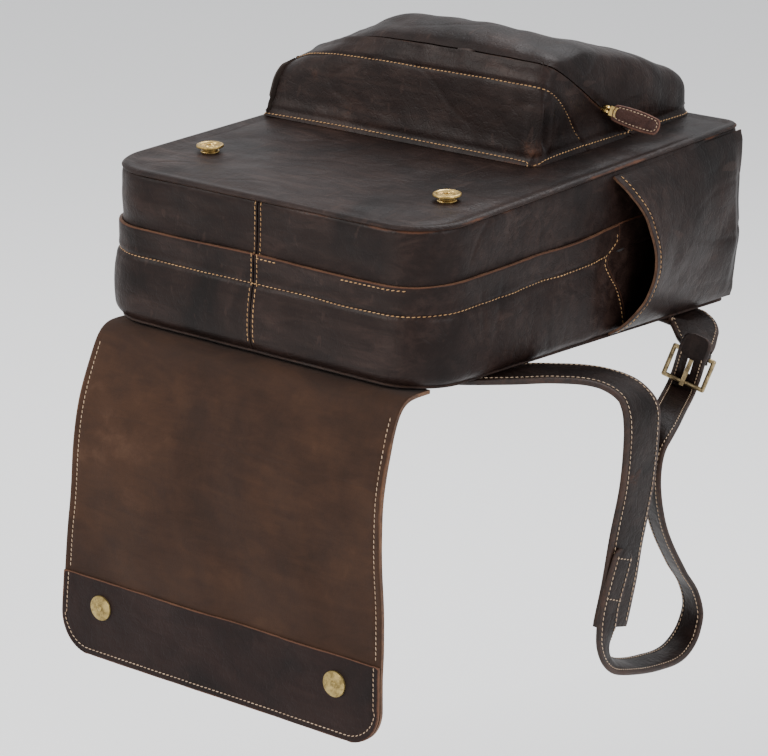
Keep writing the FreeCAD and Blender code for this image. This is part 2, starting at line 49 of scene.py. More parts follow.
scene = bpy.context.scene

bag = {
    "halfWidth": 140.0, "topY": -175.0, "bottomY": 175.0,
    "backZ": 6.0, "frontZ": 108.0, "frontSlope": 24 / 350,
    "topCorner": 40.0, "bottomCorner": 14.0,
    "leather": 2.2, "guardZ": 71.0, "guardSlope": 0.06, "stitchDrop": 19.0,
}
snaps = {"x": 99.5, "y": -107.6, "flapZ": -183.65}
snapSides = (-snaps["x"], snaps["x"])
making = {"weld": 0.02, "crisp": 40}  # points this near are joined, edges this sharp (degrees) stay crisp


# Small helpers for shapes given as numbers
def unit(v):
    return v / np.maximum(np.linalg.norm(v, axis=-1, keepdims=True), 1e-9)


def smooth(x, low, high):
    t = np.clip((x - low) / (high - low), 0, 1)
    return t * t * (3 - 2 * t)


def bump(x, centre, width):
    return np.exp(-((x - centre) / width) ** 2)


def swell(p, size, seed, waves=9):
    # slow irregular waves, about -1 to 1, the same on every run
    rng = np.random.default_rng(seed)
    total = np.zeros(p.shape[:-1])
    for wave in range(waves):
        way = rng.normal(size=3)
        way = way / np.linalg.norm(way)
        other = rng.normal(size=3)
        other = other / np.linalg.norm(other)
        k = 2 * math.pi / (size * rng.uniform(0.7, 1.6))
        bend = np.sin(p @ other * k * 0.7 + rng.uniform(0, 6.28))
        total += np.sin(p @ way * k + rng.uniform(0, 6.28) + 0.9 * bend)
    return total / math.sqrt(waves)


def crease(p, size, seed, width=0.12):
    return np.exp(-(swell(p, size, seed) / width) ** 2)


def rolledIn(h, roll):
    # how far a rolled edge of this radius draws in, at height h from the edge
    return np.where(h < roll, roll - np.sqrt(np.maximum(roll ** 2 - (roll - h) ** 2, 0)), 0)


def domed(depth, reach, low=0):
    # 0 at the rim rising to 1 at this depth, round like a quarter circle
    return np.sqrt(np.clip(1 - (1 - np.clip(depth / reach, 0, 1)) ** 2, low, 1))


def runAlong(points):
    # distance from the first point to each one
    return np.concatenate([[0], np.cumsum(np.linalg.norm(np.diff(points, axis=0), axis=1))])


def curveThrough(table, x):
    # smooth line through (x, value) rows that never overshoots them
    t = np.array(table, float)
    xs, ys = t[:, 0], t[:, 1]
    h = np.diff(xs)
    d = np.diff(ys) / h
    m = np.zeros(len(xs))
    for i in range(1, len(xs) - 1):
        if d[i - 1] * d[i] > 0:
            m[i] = 2 * d[i - 1] * d[i] / (d[i - 1] + d[i])
    m[0], m[-1] = d[0], d[-1]
    x = np.clip(x, xs[0], xs[-1])
    i = np.clip(np.searchsorted(xs, x) - 1, 0, len(h) - 1)
    s = (x - xs[i]) / h[i]
    return (ys[i] * (1 + 2 * s) * (1 - s) ** 2 + m[i] * h[i] * s * (1 - s) ** 2
            + ys[i + 1] * s * s * (3 - 2 * s) + m[i + 1] * h[i] * s * s * (s - 1))


def routeThrough(points, count):
    # smooth route through points, evenly spaced; also carries extra columns along
    p = np.array(points, float)
    knots = runAlong(p[:, :3])
    fine = np.linspace(0, knots[-1], count * 6)
    m = np.zeros_like(p)
    for i in range(len(p)):
        a, b = max(i - 1, 0), min(i + 1, len(p) - 1)
        m[i] = (p[b] - p[a]) / (knots[b] - knots[a])
    i = np.clip(np.searchsorted(knots, fine) - 1, 0, len(p) - 2)
    h = (knots[i + 1] - knots[i])[:, None]
    s = ((fine - knots[i])[:, None]) / h
    q = (p[i] * (1 + 2 * s) * (1 - s) ** 2 + m[i] * h * s * (1 - s) ** 2
         + p[i + 1] * s * s * (3 - 2 * s) + m[i + 1] * h * s * s * (s - 1))
    run = runAlong(q[:, :3])
    even = np.linspace(0, run[-1], count)
    return np.stack([np.interp(even, run, q[:, c]) for c in range(q.shape[1])], axis=1)


# Turning numbers into pieces
def inScene(name, data):
    made = bpy.data.objects.new(name, data)
    scene.collection.objects.link(made)
    return made


def plainMesh(holder, name):
    # the mesh that its modifiers make
    view = bpy.context.evaluated_depsgraph_get()
    made = bpy.data.meshes.new_from_object(holder.evaluated_get(view))
    made.name = name
    return made


def meshPiece(name, verts, faces, slots, slotOf=None, wear=None, sharp=making["crisp"]):
    mesh = bpy.data.meshes.new(name)
    mesh.from_pydata((np.asarray(verts) * mm).tolist(), [], faces)
    for material in slots:
        mesh.materials.append(material)
    if slotOf is not None:
        mesh.polygons.foreach_set("material_index", slotOf)
    worn = mesh.attributes.new("wear", "FLOAT", "POINT")
    if wear is not None:
        worn.data.foreach_set("value", np.asarray(wear, float).ravel())
    mesh.polygons.foreach_set("use_smooth", [True] * len(mesh.polygons))
    mesh.set_sharp_from_angle(angle=math.radians(sharp))
    mesh.update()
    return inScene(name, mesh)


def gridNormals(p):
    du = np.gradient(p, axis=0)
    dv = np.gradient(p, axis=1)
    return unit(np.cross(du, dv))


def leatherSheet(name, p, thick, slots, wear=None, flip=False, closed=False, bevel=0.35, lowSlot=2,
                 steady=0):
    # a grid of outer points given its thickness; slots are outer face, inner face, cut edge
    # steady: how many last columns, where a corner is rounded off, keep the direction before them
    n = gridNormals(p)
    if closed:
        wrapped = np.concatenate([p[-2:-1], p, p[1:2]], axis=0)
        n = gridNormals(wrapped)[1:-1]
        n[:, -1] = n[:, -2]
    if steady:
        n[:, -steady:] = n[:, -steady - 1:-steady]
    if flip:
        n = -n
    rows, cols = p.shape[:2]
    thick = np.broadcast_to(np.asarray(thick, float), (rows, cols))[..., None]
    # the outer rim is eased so that the cut edge has a rounded lip
    ease = np.zeros((rows, cols, 1))
    if not closed:
        ease[0, :] = ease[-1, :] = bevel
        ease[:, -1] = bevel
    ease[:, 0] = bevel
    outer = p - n * ease
    inner = p - n * thick
    verts = np.concatenate([outer.reshape(-1, 3), inner.reshape(-1, 3)])
    total = rows * cols
    faces, slotOf = [], []

    def quad(a, b, c, d, slot):
        faces.append((a, d, c, b) if flip else (a, b, c, d))
        slotOf.append(slot)

    last = rows - 1
    index = np.arange(total).reshape(rows, cols)
    if closed:
        index[-1] = index[0]
    for i in range(last):
        for j in range(cols - 1):
            a, b, c, d = index[i, j], index[i + 1, j], index[i + 1, j + 1], index[i, j + 1]
            quad(int(a), int(b), int(c), int(d), 0)
            quad(int(a + total), int(d + total), int(c + total), int(b + total), 1)
    for i in range(last):
        a, b = int(index[i, 0]), int(index[i + 1, 0])
        quad(a, a + total, b + total, b, lowSlot)
        a, b = int(index[i, -1]), int(index[i + 1, -1])
        if not closed:
            quad(b, b + total, a + total, a, 2)
    if closed:
        # rings end in a narrow slot, which gets one face on each side
        ring = [int(k) for k in index[:last, -1]]
        rear = [k + total for k in ring[::-1]]
        faces += [ring[::-1], rear[::-1]] if flip else [ring, rear]
        slotOf += [0, 1]
    else:
        for j in range(cols - 1):
            a, b = int(index[0, j]), int(index[0, j + 1])
            quad(b, b + total, a + total, a, 2)
            a, b = int(index[-1, j]), int(index[-1, j + 1])
            quad(a, a + total, b + total, b, 2)
    if wear is not None:
        wear = np.concatenate([np.asarray(wear).ravel(), np.asarray(wear).ravel() * 0.3])
    piece = meshPiece(name, verts, faces, slots, slotOf, wear)
    if closed:
        tidyMesh(piece)
    return piece


def tidyMesh(piece):
    work = bmesh.new()
    work.from_mesh(piece.data)
    bmesh.ops.remove_doubles(work, verts=work.verts, dist=making["weld"] * mm)
    loose = [v for v in work.verts if not v.link_faces]
    bmesh.ops.delete(work, geom=loose, context="VERTS")
    work.to_mesh(piece.data)
    work.free()
    piece.data.set_sharp_from_angle(angle=math.radians(making["crisp"]))


def faceOutwards(piece, cutEnds=False):
    work = bmesh.new()
    work.from_mesh(piece.data)
    bmesh.ops.recalc_face_normals(work, faces=work.faces)
    if cutEnds:
        bmesh.ops.triangulate(work, faces=[f for f in work.faces if len(f.verts) > 4])
    work.to_mesh(piece.data)
    work.free()


def place(piece, body, slotName, *nodes):
    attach(piece, body)
    if nodes:
        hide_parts(*nodes)
    return piece


# Camera, floor and light
camera = {
    "place": (1.2062, -1.5726, 0.5208), "turn": 38.17, "dip": 15.96, "roll": -2.14,
    "lens": 140.625, "sensor": 36.0,
}
studio = {
    "floorZ": -0.42, "floorSize": 60.0, "floorColor": (0.93, 0.93, 0.93, 1), "floorRough": 0.9,
    "worldColor": (0.93, 0.94, 0.96, 1), "worldStrength": 1.05, "aim": (0, 0, 0.03),
    # each light: place, power, size, tint
    "lights": {
        "keyLight": ((-0.9, -1.6, 1.5), 40.0, 1.0, (1.0, 0.97, 0.93)),
        "rightLight": ((1.9, -0.3, 1.0), 22.0, 0.9, (0.96, 0.97, 1.0)),
        "topLight": ((-0.2, 0.9, 1.9), 36.0, 1.2, (0.97, 0.98, 1.0)),
        "lowLight": ((-0.2, -2.0, -0.1), 7.0, 0.8, (1.0, 0.95, 0.9)),
    },
}


def setCamera(values):
    a, e, r = (math.radians(values[k]) for k in ("turn", "dip", "roll"))
    forward = Vector((-math.sin(a) * math.cos(e), math.cos(a) * math.cos(e), -math.sin(e)))
    right = Vector((math.cos(a), math.sin(a), 0))
    up = right.cross(forward)
    xAxis = math.cos(r) * right - math.sin(r) * up
    yAxis = math.sin(r) * right + math.cos(r) * up
    data = bpy.data.cameras.new("studioCamera")
    data.lens = values["lens"]
    data.sensor_width = values["sensor"]
    data.clip_end = 100
    holder = inScene("studioCamera", data)
    turn = Matrix((xAxis, yAxis, -forward)).transposed().to_4x4()
    holder.matrix_world = Matrix.Translation(values["place"]) @ turn
    scene.camera = holder


def setStudio(values):
    half = values["floorSize"] / 2
    mesh = bpy.data.meshes.new("floor")
    corners = [(-half, -half), (half, -half), (half, half), (-half, half)]
    mesh.from_pydata([(x, y, values["floorZ"]) for x, y in corners], [], [(0, 1, 2, 3)])
    paint = bpy.data.materials.new("floorPaint")
    paint.use_nodes = True
    sockets = paint.node_tree.nodes["Principled BSDF"].inputs
    sockets["Base Color"].default_value = values["floorColor"]
    sockets["Roughness"].default_value = values["floorRough"]
    mesh.materials.append(paint)
    floor = inScene("floor", mesh)
    world = bpy.data.worlds.new("studioWorld")
    world.use_nodes = True
    back = world.node_tree.nodes["Background"]
    back.inputs["Color"].default_value = values["worldColor"]
    back.inputs["Strength"].default_value = values["worldStrength"]
    scene.world = world
    for name, (spot, power, size, tint) in values["lights"].items():
        data = bpy.data.lights.new(name, "AREA")
        data.energy = power
        data.size = size
        data.color = tint
        light = inScene(name, data)
        away = Vector(spot) - Vector(values["aim"])
        light.matrix_world = Matrix.Translation(spot) @ away.to_track_quat("Z", "Y").to_matrix().to_4x4()


setCamera(camera)
setStudio(studio)
print("camera and studio set")


# Finishes: node maths is written as ordinary sums
class Val:
    # a node's output that can be used in ordinary sums
    def __init__(self, finish, socket):
        self.finish = finish
        self.socket = socket

    def sum(self, operation, *others):
        return self.finish.node("ShaderNodeMath", {"operation": operation}, *others)

    def __add__(self, other):
        return self.sum("ADD", self, other)

    def __radd__(self, other):
        return self.sum("ADD", other, self)

    def __sub__(self, other):
        return self.sum("SUBTRACT", self, other)

    def __rsub__(self, other):
        return self.sum("SUBTRACT", other, self)

    def __mul__(self, other):
        return self.sum("MULTIPLY", self, other)

    def __rmul__(self, other):
        return self.sum("MULTIPLY", other, self)

    def wave(self):
        return self.sum("SINE", self)

    def clamped(self):
        return self.finish.node("ShaderNodeMath", {"operation": "ADD", "use_clamp": True}, self, 0.0)


class Finish:
    def __init__(self, name, **fixed):
        self.material = bpy.data.materials.new(name)
        self.material.use_nodes = True
        self.tree = self.material.node_tree
        self.shader = self.tree.nodes["Principled BSDF"]
        for socket, value in fixed.items():
            self.shader.inputs[socket.replace("_", " ")].default_value = value

    def node(self, kind, settings, *values, out=0, **named):
        made = self.tree.nodes.new(kind)
        for key, value in settings.items():
            setattr(made, key, value)
        for key, value in list(enumerate(values)) + list(named.items()):
            socket = made.inputs[key] if isinstance(key, int) else made.inputs[key.replace("_", " ")]
            self.fill(socket, value)
        return Val(self, made.outputs[out])

    def fill(self, socket, value):
        if isinstance(value, Val):
            self.tree.links.new(value.socket, socket)
        else:
            socket.default_value = value

    def where(self, stretch=(1, 1, 1), turn=(0, 0, 0)):
        # place on the piece in metres, stretched and turned for streaks
        spot = self.node("ShaderNodeTexCoord", {}, out=3)
        return self.node("ShaderNodeMapping", {}, spot, (0, 0, 0), turn, stretch)

    def cloud(self, spot, scale, detail=3.0, rough=0.55, twist=0.0):
        return self.node("ShaderNodeTexNoise", {}, spot, Scale=scale, Detail=detail,
                         Roughness=rough, Distortion=twist)

    def cells(self, spot, scale, feature="F1"):
        # spots like pores, or the lines between them
        return self.node("ShaderNodeTexVoronoi", {"feature": feature}, spot, Scale=scale)

    def between(self, value, low, high, toLow=0.0, toHigh=1.0):
        return self.node("ShaderNodeMapRange", {"interpolation_type": "SMOOTHSTEP"},
                         value, low, high, toLow, toHigh)

    def mix(self, part, first, second, kind="MIX"):
        made = self.tree.nodes.new("ShaderNodeMix")
        made.data_type = "RGBA"
        made.blend_type = kind
        self.fill(made.inputs[0], part)
        self.fill(made.inputs[6], first)
        self.fill(made.inputs[7], second)
        return Val(self, made.outputs[2])

    def worn(self):
        return self.node("ShaderNodeAttribute", {"attribute_name": "wear"}, out=2)

    def relief(self, layers):
        # heights in metres, finest last
        under = None
        for height, strength, distance in layers:
            extra = {} if under is None else {"Normal": under}
            under = self.node("ShaderNodeBump", {}, Height=height, Strength=strength,
                              Distance=distance, **extra)
        return under

    def use(self, **sockets):
        for socket, value in sockets.items():
            self.fill(self.shader.inputs[socket.replace("_", " ")], value)
        return self.material


leatherLooks = {
    "bodyLeather": {
        "deep": (0.0034, 0.0019, 0.0016, 1), "base": (0.0100, 0.0050, 0.0040, 1),
        "pale": (0.044, 0.0255, 0.0200, 1), "worn": (0.075, 0.031, 0.017, 1),
        "rough": 0.48, "cloud": 13.0, "coat": 0.03,
    },
    "strapLeather": {
        "deep": (0.0038, 0.0021, 0.0017, 1), "base": (0.0088, 0.0048, 0.0038, 1),
        "pale": (0.029, 0.0170, 0.0135, 1), "worn": (0.075, 0.033, 0.020, 1),
        "rough": 0.47, "cloud": 22.0, "coat": 0.03,
    },
    "flapBandLeather": {
        "deep": (0.0050, 0.0021, 0.0017, 1), "base": (0.0105, 0.0043, 0.0034, 1),
        "pale": (0.022, 0.0100, 0.0078, 1), "worn": (0.095, 0.043, 0.026, 1),
        "rough": 0.55, "cloud": 16.0, "coat": 0.02,
    },
    "pullLeather": {
        "deep": (0.016, 0.0062, 0.0048, 1), "base": (0.036, 0.0145, 0.0105, 1),
        "pale": (0.070, 0.033, 0.024, 1), "worn": (0.13, 0.062, 0.042, 1),
        "rough": 0.48, "cloud": 60.0, "coat": 0.04,
    },
}


def waxedLeather(name, look):
    skin = Finish(name, Coat_Weight=look["coat"], Coat_Roughness=0.34, Specular_IOR_Level=0.12)
    spot = skin.where()
    slow = skin.cloud(spot, look["cloud"], 4.0, 0.6, 0.6)
    mid = skin.cloud(spot, look["cloud"] * 5, 4.0, 0.65, 0.3)
    smear = skin.cloud(skin.where((6, 30, 30), (0.3, 0.2, 0.5)), 3.2, 5.0, 0.7, 1.2)
    fine = skin.cloud(spot, 900.0, 2.0, 0.6)
    pebble = skin.cells(spot, 620.0)
    drift = skin.node("ShaderNodeTexNoise", {}, spot, out=1, Scale=120.0, Detail=2.0)
    much = (0.012, 0.012, 0.012)
    bent = skin.node("ShaderNodeVectorMath", {"operation": "MULTIPLY_ADD"}, drift, much, spot)
    wrinkle = skin.cells(bent, 85.0, "DISTANCE_TO_EDGE")
    worn = skin.worn()
    # pale blotches: partly the leather's own mottled tone, partly painted sheen laid into the colour, and a
    # little smoother there
    lift = skin.between(slow, 0.38, 0.72) * 0.75 + skin.between(mid, 0.45, 0.75) * 0.3
    mottleAndSheen = (lift * skin.between(smear, 0.35, 0.7)).clamped()
    color = skin.mix(skin.between(slow, 0.25, 0.55), look["deep"], look["base"])
    color = skin.mix(mottleAndSheen * 0.75, color, look["pale"])
    rub = skin.between(worn * 1.25 + (mid - 0.5) * 0.9 + (fine - 0.5) * 0.35, 0.42, 0.95)
    color = skin.mix(rub, color, look["worn"])
    scratches = skin.cloud(skin.where((40, 3, 16), (0.5, 0.9, 0.35)), 5.0, 2.0, 0.5)
    color = skin.mix(skin.between(scratches, 0.66, 0.71) * 0.28, color, look["pale"])
    pores = skin.between(pebble, 0.0, 0.5)
    color = skin.mix((1 - pores) * 0.25, color, look["deep"])
    rough = look["rough"] - mottleAndSheen * 0.06 + (mid - 0.5) * 0.22 + rub * 0.16 + (fine - 0.5) * 0.12
    seams = skin.between(wrinkle, 0.0, 0.09)
    normal = skin.relief([
        (mid, 0.35, 0.0022),
        (seams, 0.22, 0.0004),
        (pores, 0.35, 0.00022),
        (fine, 0.35, 0.00018),
    ])
    return skin.use(Base_Color=color, Roughness=rough.clamped(), Normal=normal)


suedeLook = {
    "dark": (0.0145, 0.0058, 0.0028, 1), "warm": (0.040, 0.0172, 0.0084, 1),
    "light": (0.078, 0.041, 0.0235, 1), "worn": (0.115, 0.056, 0.030, 1),
}


def flapSuede(look):
    nap = Finish("flapSuede", Specular_IOR_Level=0.12, Sheen_Weight=0.06, Sheen_Roughness=0.5)
    spot = nap.where()
    slow = nap.cloud(spot, 9.0, 5.0, 0.6, 0.5)
    mid = nap.cloud(spot, 42.0, 5.0, 0.68, 0.4)
    brushed = nap.cloud(nap.where((14, 14, 60), (0, 0.15, 0)), 1.6, 5.0, 0.7, 0.8)
    fuzz = nap.cloud(spot, 1500.0, 3.0, 0.7)
    fibre = nap.cloud(nap.where((900, 900, 260)), 1.0, 2.0, 0.6, 0.5)
    worn = nap.worn()
    tone = nap.between(slow * 0.55 + mid * 0.3 + brushed * 0.3, 0.40, 0.74)
    color = nap.mix(tone, look["dark"], look["warm"])
    color = nap.mix(nap.between(mid * 0.6 + slow * 0.5, 0.6, 0.82) * 0.6, color, look["light"])
    color = nap.mix((fuzz - 0.35).clamped() * 0.35, color, look["light"])
    rub = nap.between(worn * 1.1 + (mid - 0.5) * 0.8, 0.35, 0.95)
    color = nap.mix(rub * 0.8, color, look["worn"])
    # where the wear value falls below zero, the suede is darkened instead
    color = nap.mix(nap.between(worn, -1.0, -0.1, 0.75, 0.0), color, look["dark"])
    normal = nap.relief([(mid, 0.25, 0.0012), (fibre, 0.3, 0.0002), (fuzz, 0.45, 0.00018)])
    rough = 0.72 + (mid - 0.5) * 0.2 + (fuzz - 0.5) * 0.1
    return nap.use(Base_Color=color, Roughness=rough.clamped(), Normal=normal)


edgeLooks = {
    "tanCutEdge": {"dark": (0.046, 0.021, 0.0115, 1), "light": (0.150, 0.074, 0.038, 1)},
    "darkCutEdge": {"dark": (0.008, 0.0042, 0.0034, 1), "light": (0.040, 0.0185, 0.011, 1)},
}


def rawEdge(name, look):
    # cut leather edge: fibrous, in thin layers
    cut = Finish(name, Specular_IOR_Level=0.3)
    spot = cut.where()
    fibre = cut.cloud(spot, 240.0, 5.0, 0.75, 0.8)
    patch = cut.cloud(spot, 34.0, 3.0, 0.6)
    tone = cut.between(fibre * 0.6 + patch * 0.5, 0.38, 0.72)
    color = cut.mix(tone, look["dark"], look["light"])
    normal = cut.relief([(fibre, 0.5, 0.0005)])
    return cut.use(Base_Color=color, Roughness=(0.58 + (patch - 0.5) * 0.25).clamped(), Normal=normal)


insideLook = {
    "dark": (0.010, 0.0062, 0.0048, 1), "warm": (0.028, 0.0175, 0.0125, 1), "fibre": (0.048, 0.032, 0.023, 1),
}


def backOfLeather(look):
    under = Finish("leatherInside", Specular_IOR_Level=0.2)
    spot = under.where()
    slow = under.cloud(spot, 20.0, 4.0, 0.6)
    fuzz = under.cloud(spot, 1200.0, 3.0, 0.7)
    color = under.mix(under.between(slow, 0.3, 0.7), look["dark"], look["warm"])
    color = under.mix((fuzz - 0.4).clamped() * 0.4, color, look["fibre"])
    return under.use(Base_Color=color, Roughness=(0.85 + (slow - 0.5) * 0.1).clamped(),
                     Normal=under.relief([(fuzz, 0.5, 0.0003)]))


threadLooks = {
    "tanThread": {"base": (0.21, 0.100, 0.032, 1), "light": (0.50, 0.285, 0.105, 1)},
    "paleThread": {"base": (0.26, 0.165, 0.095, 1), "light": (0.50, 0.36, 0.235, 1)},
}


def waxedThread(name, look):
    thread = Finish(name, Specular_IOR_Level=0.4, Sheen_Weight=0.2)
    spot = thread.where()
    patch = thread.cloud(spot, 90.0, 3.0, 0.6)
    twist = thread.cloud(spot, 2600.0, 2.0, 0.6, 0.6)
    tone = thread.between(patch * 0.7 + twist * 0.4, 0.35, 0.75)
    color = thread.mix(tone, look["base"], look["light"])
    return thread.use(Base_Color=color, Roughness=(0.5 + (patch - 0.5) * 0.3).clamped(),
                      Normal=thread.relief([(twist, 0.4, 0.0002)]))


brassLooks = {
    "antiqueBrass": {"bright": (0.66, 0.46, 0.165, 1), "dull": (0.13, 0.080, 0.026, 1), "rough": 0.25},
    "buckleBrass": {"bright": (0.34, 0.26, 0.14, 1), "dull": (0.06, 0.042, 0.024, 1), "rough": 0.32},
    "flapBrass": {"bright": (0.36, 0.27, 0.105, 1), "dull": (0.12, 0.085, 0.03, 1), "rough": 0.36},
}


def antiqueBrass(name, look):
    brass = Finish(name, Metallic=1.0)
    spot = brass.where()
    patina = brass.cloud(spot, 190.0, 5.0, 0.65, 0.5)
    speck = brass.cloud(spot, 1400.0, 3.0, 0.6)
    scratch = brass.cloud(brass.where((900, 120, 300), (0.4, 0.2, 0.7)), 1.0, 3.0, 0.6)
    tarnish = brass.between(patina * 0.8 + speck * 0.25, 0.42, 0.68)
    color = brass.mix(tarnish * 0.75, look["bright"], look["dull"])
    roughness = look["rough"] + tarnish * 0.25 + (scratch - 0.5) * 0.16
    return brass.use(Base_Color=color, Roughness=roughness.clamped(),
                     Normal=brass.relief([(scratch, 0.12, 0.0002), (speck, 0.15, 0.0001)]))


clothLooks = {
    "liningCloth": {"dark": (0.02, 0.015, 0.0125, 1), "light": (0.06, 0.046, 0.038, 1), "weave": 1100.0},
    "zipTape": {"dark": (0.006, 0.005, 0.005, 1), "light": (0.022, 0.018, 0.016, 1), "weave": 1500.0},
}


def wovenCloth(name, look):
    cloth = Finish(name, Specular_IOR_Level=0.25, Sheen_Weight=0.15)
    spot = cloth.where()
    axes = cloth.node("ShaderNodeSeparateXYZ", {}, spot)
    parts = [Val(cloth, axes.socket.node.outputs[i]) for i in range(3)]
    pitch = look["weave"]
    warp = (parts[0] * pitch * 3.0 + parts[2] * pitch * 2.2).wave()
    weft = (parts[1] * pitch * 3.0 + parts[2] * pitch * 1.4).wave()
    weave = warp * weft * 0.5 + 0.5
    patch = cloth.cloud(spot, 45.0, 3.0, 0.6)
    color = cloth.mix((weave * 0.6 + patch * 0.4).clamped(), look["dark"], look["light"])
    return cloth.use(Base_Color=color, Roughness=(0.85 + (patch - 0.5) * 0.15).clamped(),
                     Normal=cloth.relief([(weave, 0.5, 0.0003)]))


grainLooks = {
    "zipCoil": {"dark": (0.007, 0.006, 0.0055, 1), "light": (0.025, 0.021, 0.018, 1), "grain": 900.0,
                "rough": 0.4},
    "paleFoam": {"dark": (0.28, 0.27, 0.25, 1), "light": (0.42, 0.41, 0.38, 1), "grain": 1300.0,
                 "rough": 0.9},
    "fibreBoard": {"dark": (0.08, 0.065, 0.055, 1), "light": (0.17, 0.14, 0.12, 1), "grain": 420.0,
                   "rough": 0.8},
}


def plainGrain(name, look):
    plain = Finish(name)
    spot = plain.where()
    grain = plain.cloud(spot, look["grain"], 4.0, 0.65)
    patch = plain.cloud(spot, look["grain"] * 0.08, 3.0, 0.6)
    color = plain.mix((grain * 0.5 + patch * 0.5).clamped(), look["dark"], look["light"])
    return plain.use(Base_Color=color, Roughness=(look["rough"] + (patch - 0.5) * 0.2).clamped(),
                     Normal=plain.relief([(grain, 0.35, 0.0003)]))


def finishAll(make, looks):
    return [make(name, look) for name, look in looks.items()]


bodyLeather, strapLeather, bandLeather, pullLeather = finishAll(waxedLeather, leatherLooks)
suede = flapSuede(suedeLook)
tanEdge, darkEdge = finishAll(rawEdge, edgeLooks)
insideLeather = backOfLeather(insideLook)
tanThread, paleThread = finishAll(waxedThread, threadLooks)
brass, buckleBrass, flapBrass = finishAll(antiqueBrass, brassLooks)
liningCloth, tapeCloth = finishAll(wovenCloth, clothLooks)
coilNylon, paleFoam, fibreBoard = finishAll(plainGrain, grainLooks)
coverLeather = [bodyLeather, insideLeather, tanEdge]  # a raw cut edge shows
seamedLeather = [bodyLeather, insideLeather, darkEdge]  # the edge is turned into a seam
print("finishes made")


# Stitches: one tree lays them along every seam line
stitch = {"pitch": 3.3, "length": 2.7, "width": 0.75, "height": 0.62, "slant": 0.14, "stray": 0.09, "seed": 7}


def stitchTree():
    tree = bpy.data.node_groups.new("seamStitches", "GeometryNodeTree")
    face = tree.interface
    face.new_socket(name="Geometry", in_out="INPUT", socket_type="NodeSocketGeometry")
    for name in ("Pitch", "Length", "Width", "Height", "Slant", "Stray"):
        face.new_socket(name=name, in_out="INPUT", socket_type="NodeSocketFloat")
    face.new_socket(name="Seed", in_out="INPUT", socket_type="NodeSocketInt")
    face.new_socket(name="Thread", in_out="INPUT", socket_type="NodeSocketMaterial")
    face.new_socket(name="Geometry", in_out="OUTPUT", socket_type="NodeSocketGeometry")

    def add(kind, settings=None, **links):
        # links are named after the sockets, or _0, _1 by their order
        made = tree.nodes.new(kind)
        for key, value in (settings or {}).items():
            setattr(made, key, value)
        for key, value in links.items():
            socket = made.inputs[int(key[1:])] if key[0] == "_" else made.inputs[key.replace("_", " ")]
            if isinstance(value, bpy.types.NodeSocket):
                tree.links.new(value, socket)
            else:
                socket.default_value = value
        return made

    given = add("NodeGroupInput").outputs
    line = add("GeometryNodeMeshToCurve", Mesh=given["Geometry"])
    beads = add("GeometryNodeResampleCurve", {"mode": "LENGTH"}, Curve=line.outputs[0],
                Length=given["Pitch"])
    up = add("GeometryNodeInputNamedAttribute", {"data_type": "FLOAT_VECTOR"}, Name="up")
    along = add("GeometryNodeInputTangent")
    turn = add("FunctionNodeAxesToRotation", {"primary_axis": "X", "secondary_axis": "Z"},
               _0=along.outputs[0], _1=up.outputs[0])
    other = add("ShaderNodeMath", {"operation": "MULTIPLY"}, _0=given["Stray"], _1=-1.0)
    loose = add("FunctionNodeRandomValue", {"data_type": "FLOAT"}, _2=other.outputs[0], _3=given["Stray"],
                Seed=given["Seed"])
    yaw = add("ShaderNodeMath", {"operation": "ADD"}, _0=loose.outputs[1], _1=given["Slant"])
    twist = add("FunctionNodeAxisAngleToRotation", _0=(0, 0, 1), _1=yaw.outputs[0])
    whole = add("FunctionNodeRotateRotation", {"rotation_space": "LOCAL"}, _0=turn.outputs[0],
                _1=twist.outputs[0])
    bead = add("GeometryNodeMeshUVSphere", Segments=6, Rings=5, Radius=0.5)
    sizes = add("ShaderNodeCombineXYZ", _0=given["Length"], _1=given["Width"], _2=given["Height"])
    shaped = add("GeometryNodeTransform", Geometry=bead.outputs[0], Scale=sizes.outputs[0])
    soft = add("GeometryNodeSetShadeSmooth", Geometry=shaped.outputs[0])
    laid = add("GeometryNodeInstanceOnPoints", Points=beads.outputs[0], Instance=soft.outputs[0],
               Rotation=whole.outputs[0])
    real = add("GeometryNodeRealizeInstances", Geometry=laid.outputs[0])
    paint = add("GeometryNodeSetMaterial", Geometry=real.outputs[0], Material=given["Thread"])
    add("NodeGroupOutput", _0=paint.outputs[0])
    return tree


sewing = stitchTree()


def sew(name, lines, thread, values=None):
    # lines: (points, ups) in millimetres; gives one plain mesh of stitches
    sizes = dict(stitch)
    sizes.update(values or {})
    verts, edges, ups = [], [], []
    for points, up in lines:
        start = len(verts)
        lifted = np.asarray(points) + np.asarray(up) * sizes["height"] * 0.12
        verts += (lifted * mm).tolist()
        ups += np.asarray(up).tolist()
        edges += [(start + i, start + i + 1) for i in range(len(points) - 1)]
    mesh = bpy.data.meshes.new(name + "Line")
    mesh.from_pydata(verts, edges, [])
    mesh.attributes.new("up", "FLOAT_VECTOR", "POINT").data.foreach_set("vector", np.array(ups).ravel())
    holder = inScene(name + "Line", mesh)
    modifier = holder.modifiers.new("stitches", "NODES")
    modifier.node_group = sewing
    values = {key.title(): sizes[key] * mm for key in ("pitch", "length", "width", "height")}
    values.update({"Slant": sizes["slant"], "Stray": sizes["stray"], "Seed": sizes["seed"], "Thread": thread})
    for item in sewing.interface.items_tree:
        if item.in_out == "INPUT" and item.name in values:
            modifier[item.identifier] = values[item.name]
    made = plainMesh(holder, name)
    bpy.data.objects.remove(holder)
    return inScene(name, made)


bagSeams = []


def seamOn(at, u, v, flip=False, lift=0.0):
    # a line of parameter pairs read off a surface, with the surface's own outward way
    u, v = np.broadcast_arrays(np.asarray(u, float), np.asarray(v, float))
    step = 0.01
    p = at(u, v)
    n = unit(np.cross(at(u + step, v) - at(u - step, v), at(u, v + step) - at(u, v - step)))
    if flip:
        n = -n
    return p + n * lift, n


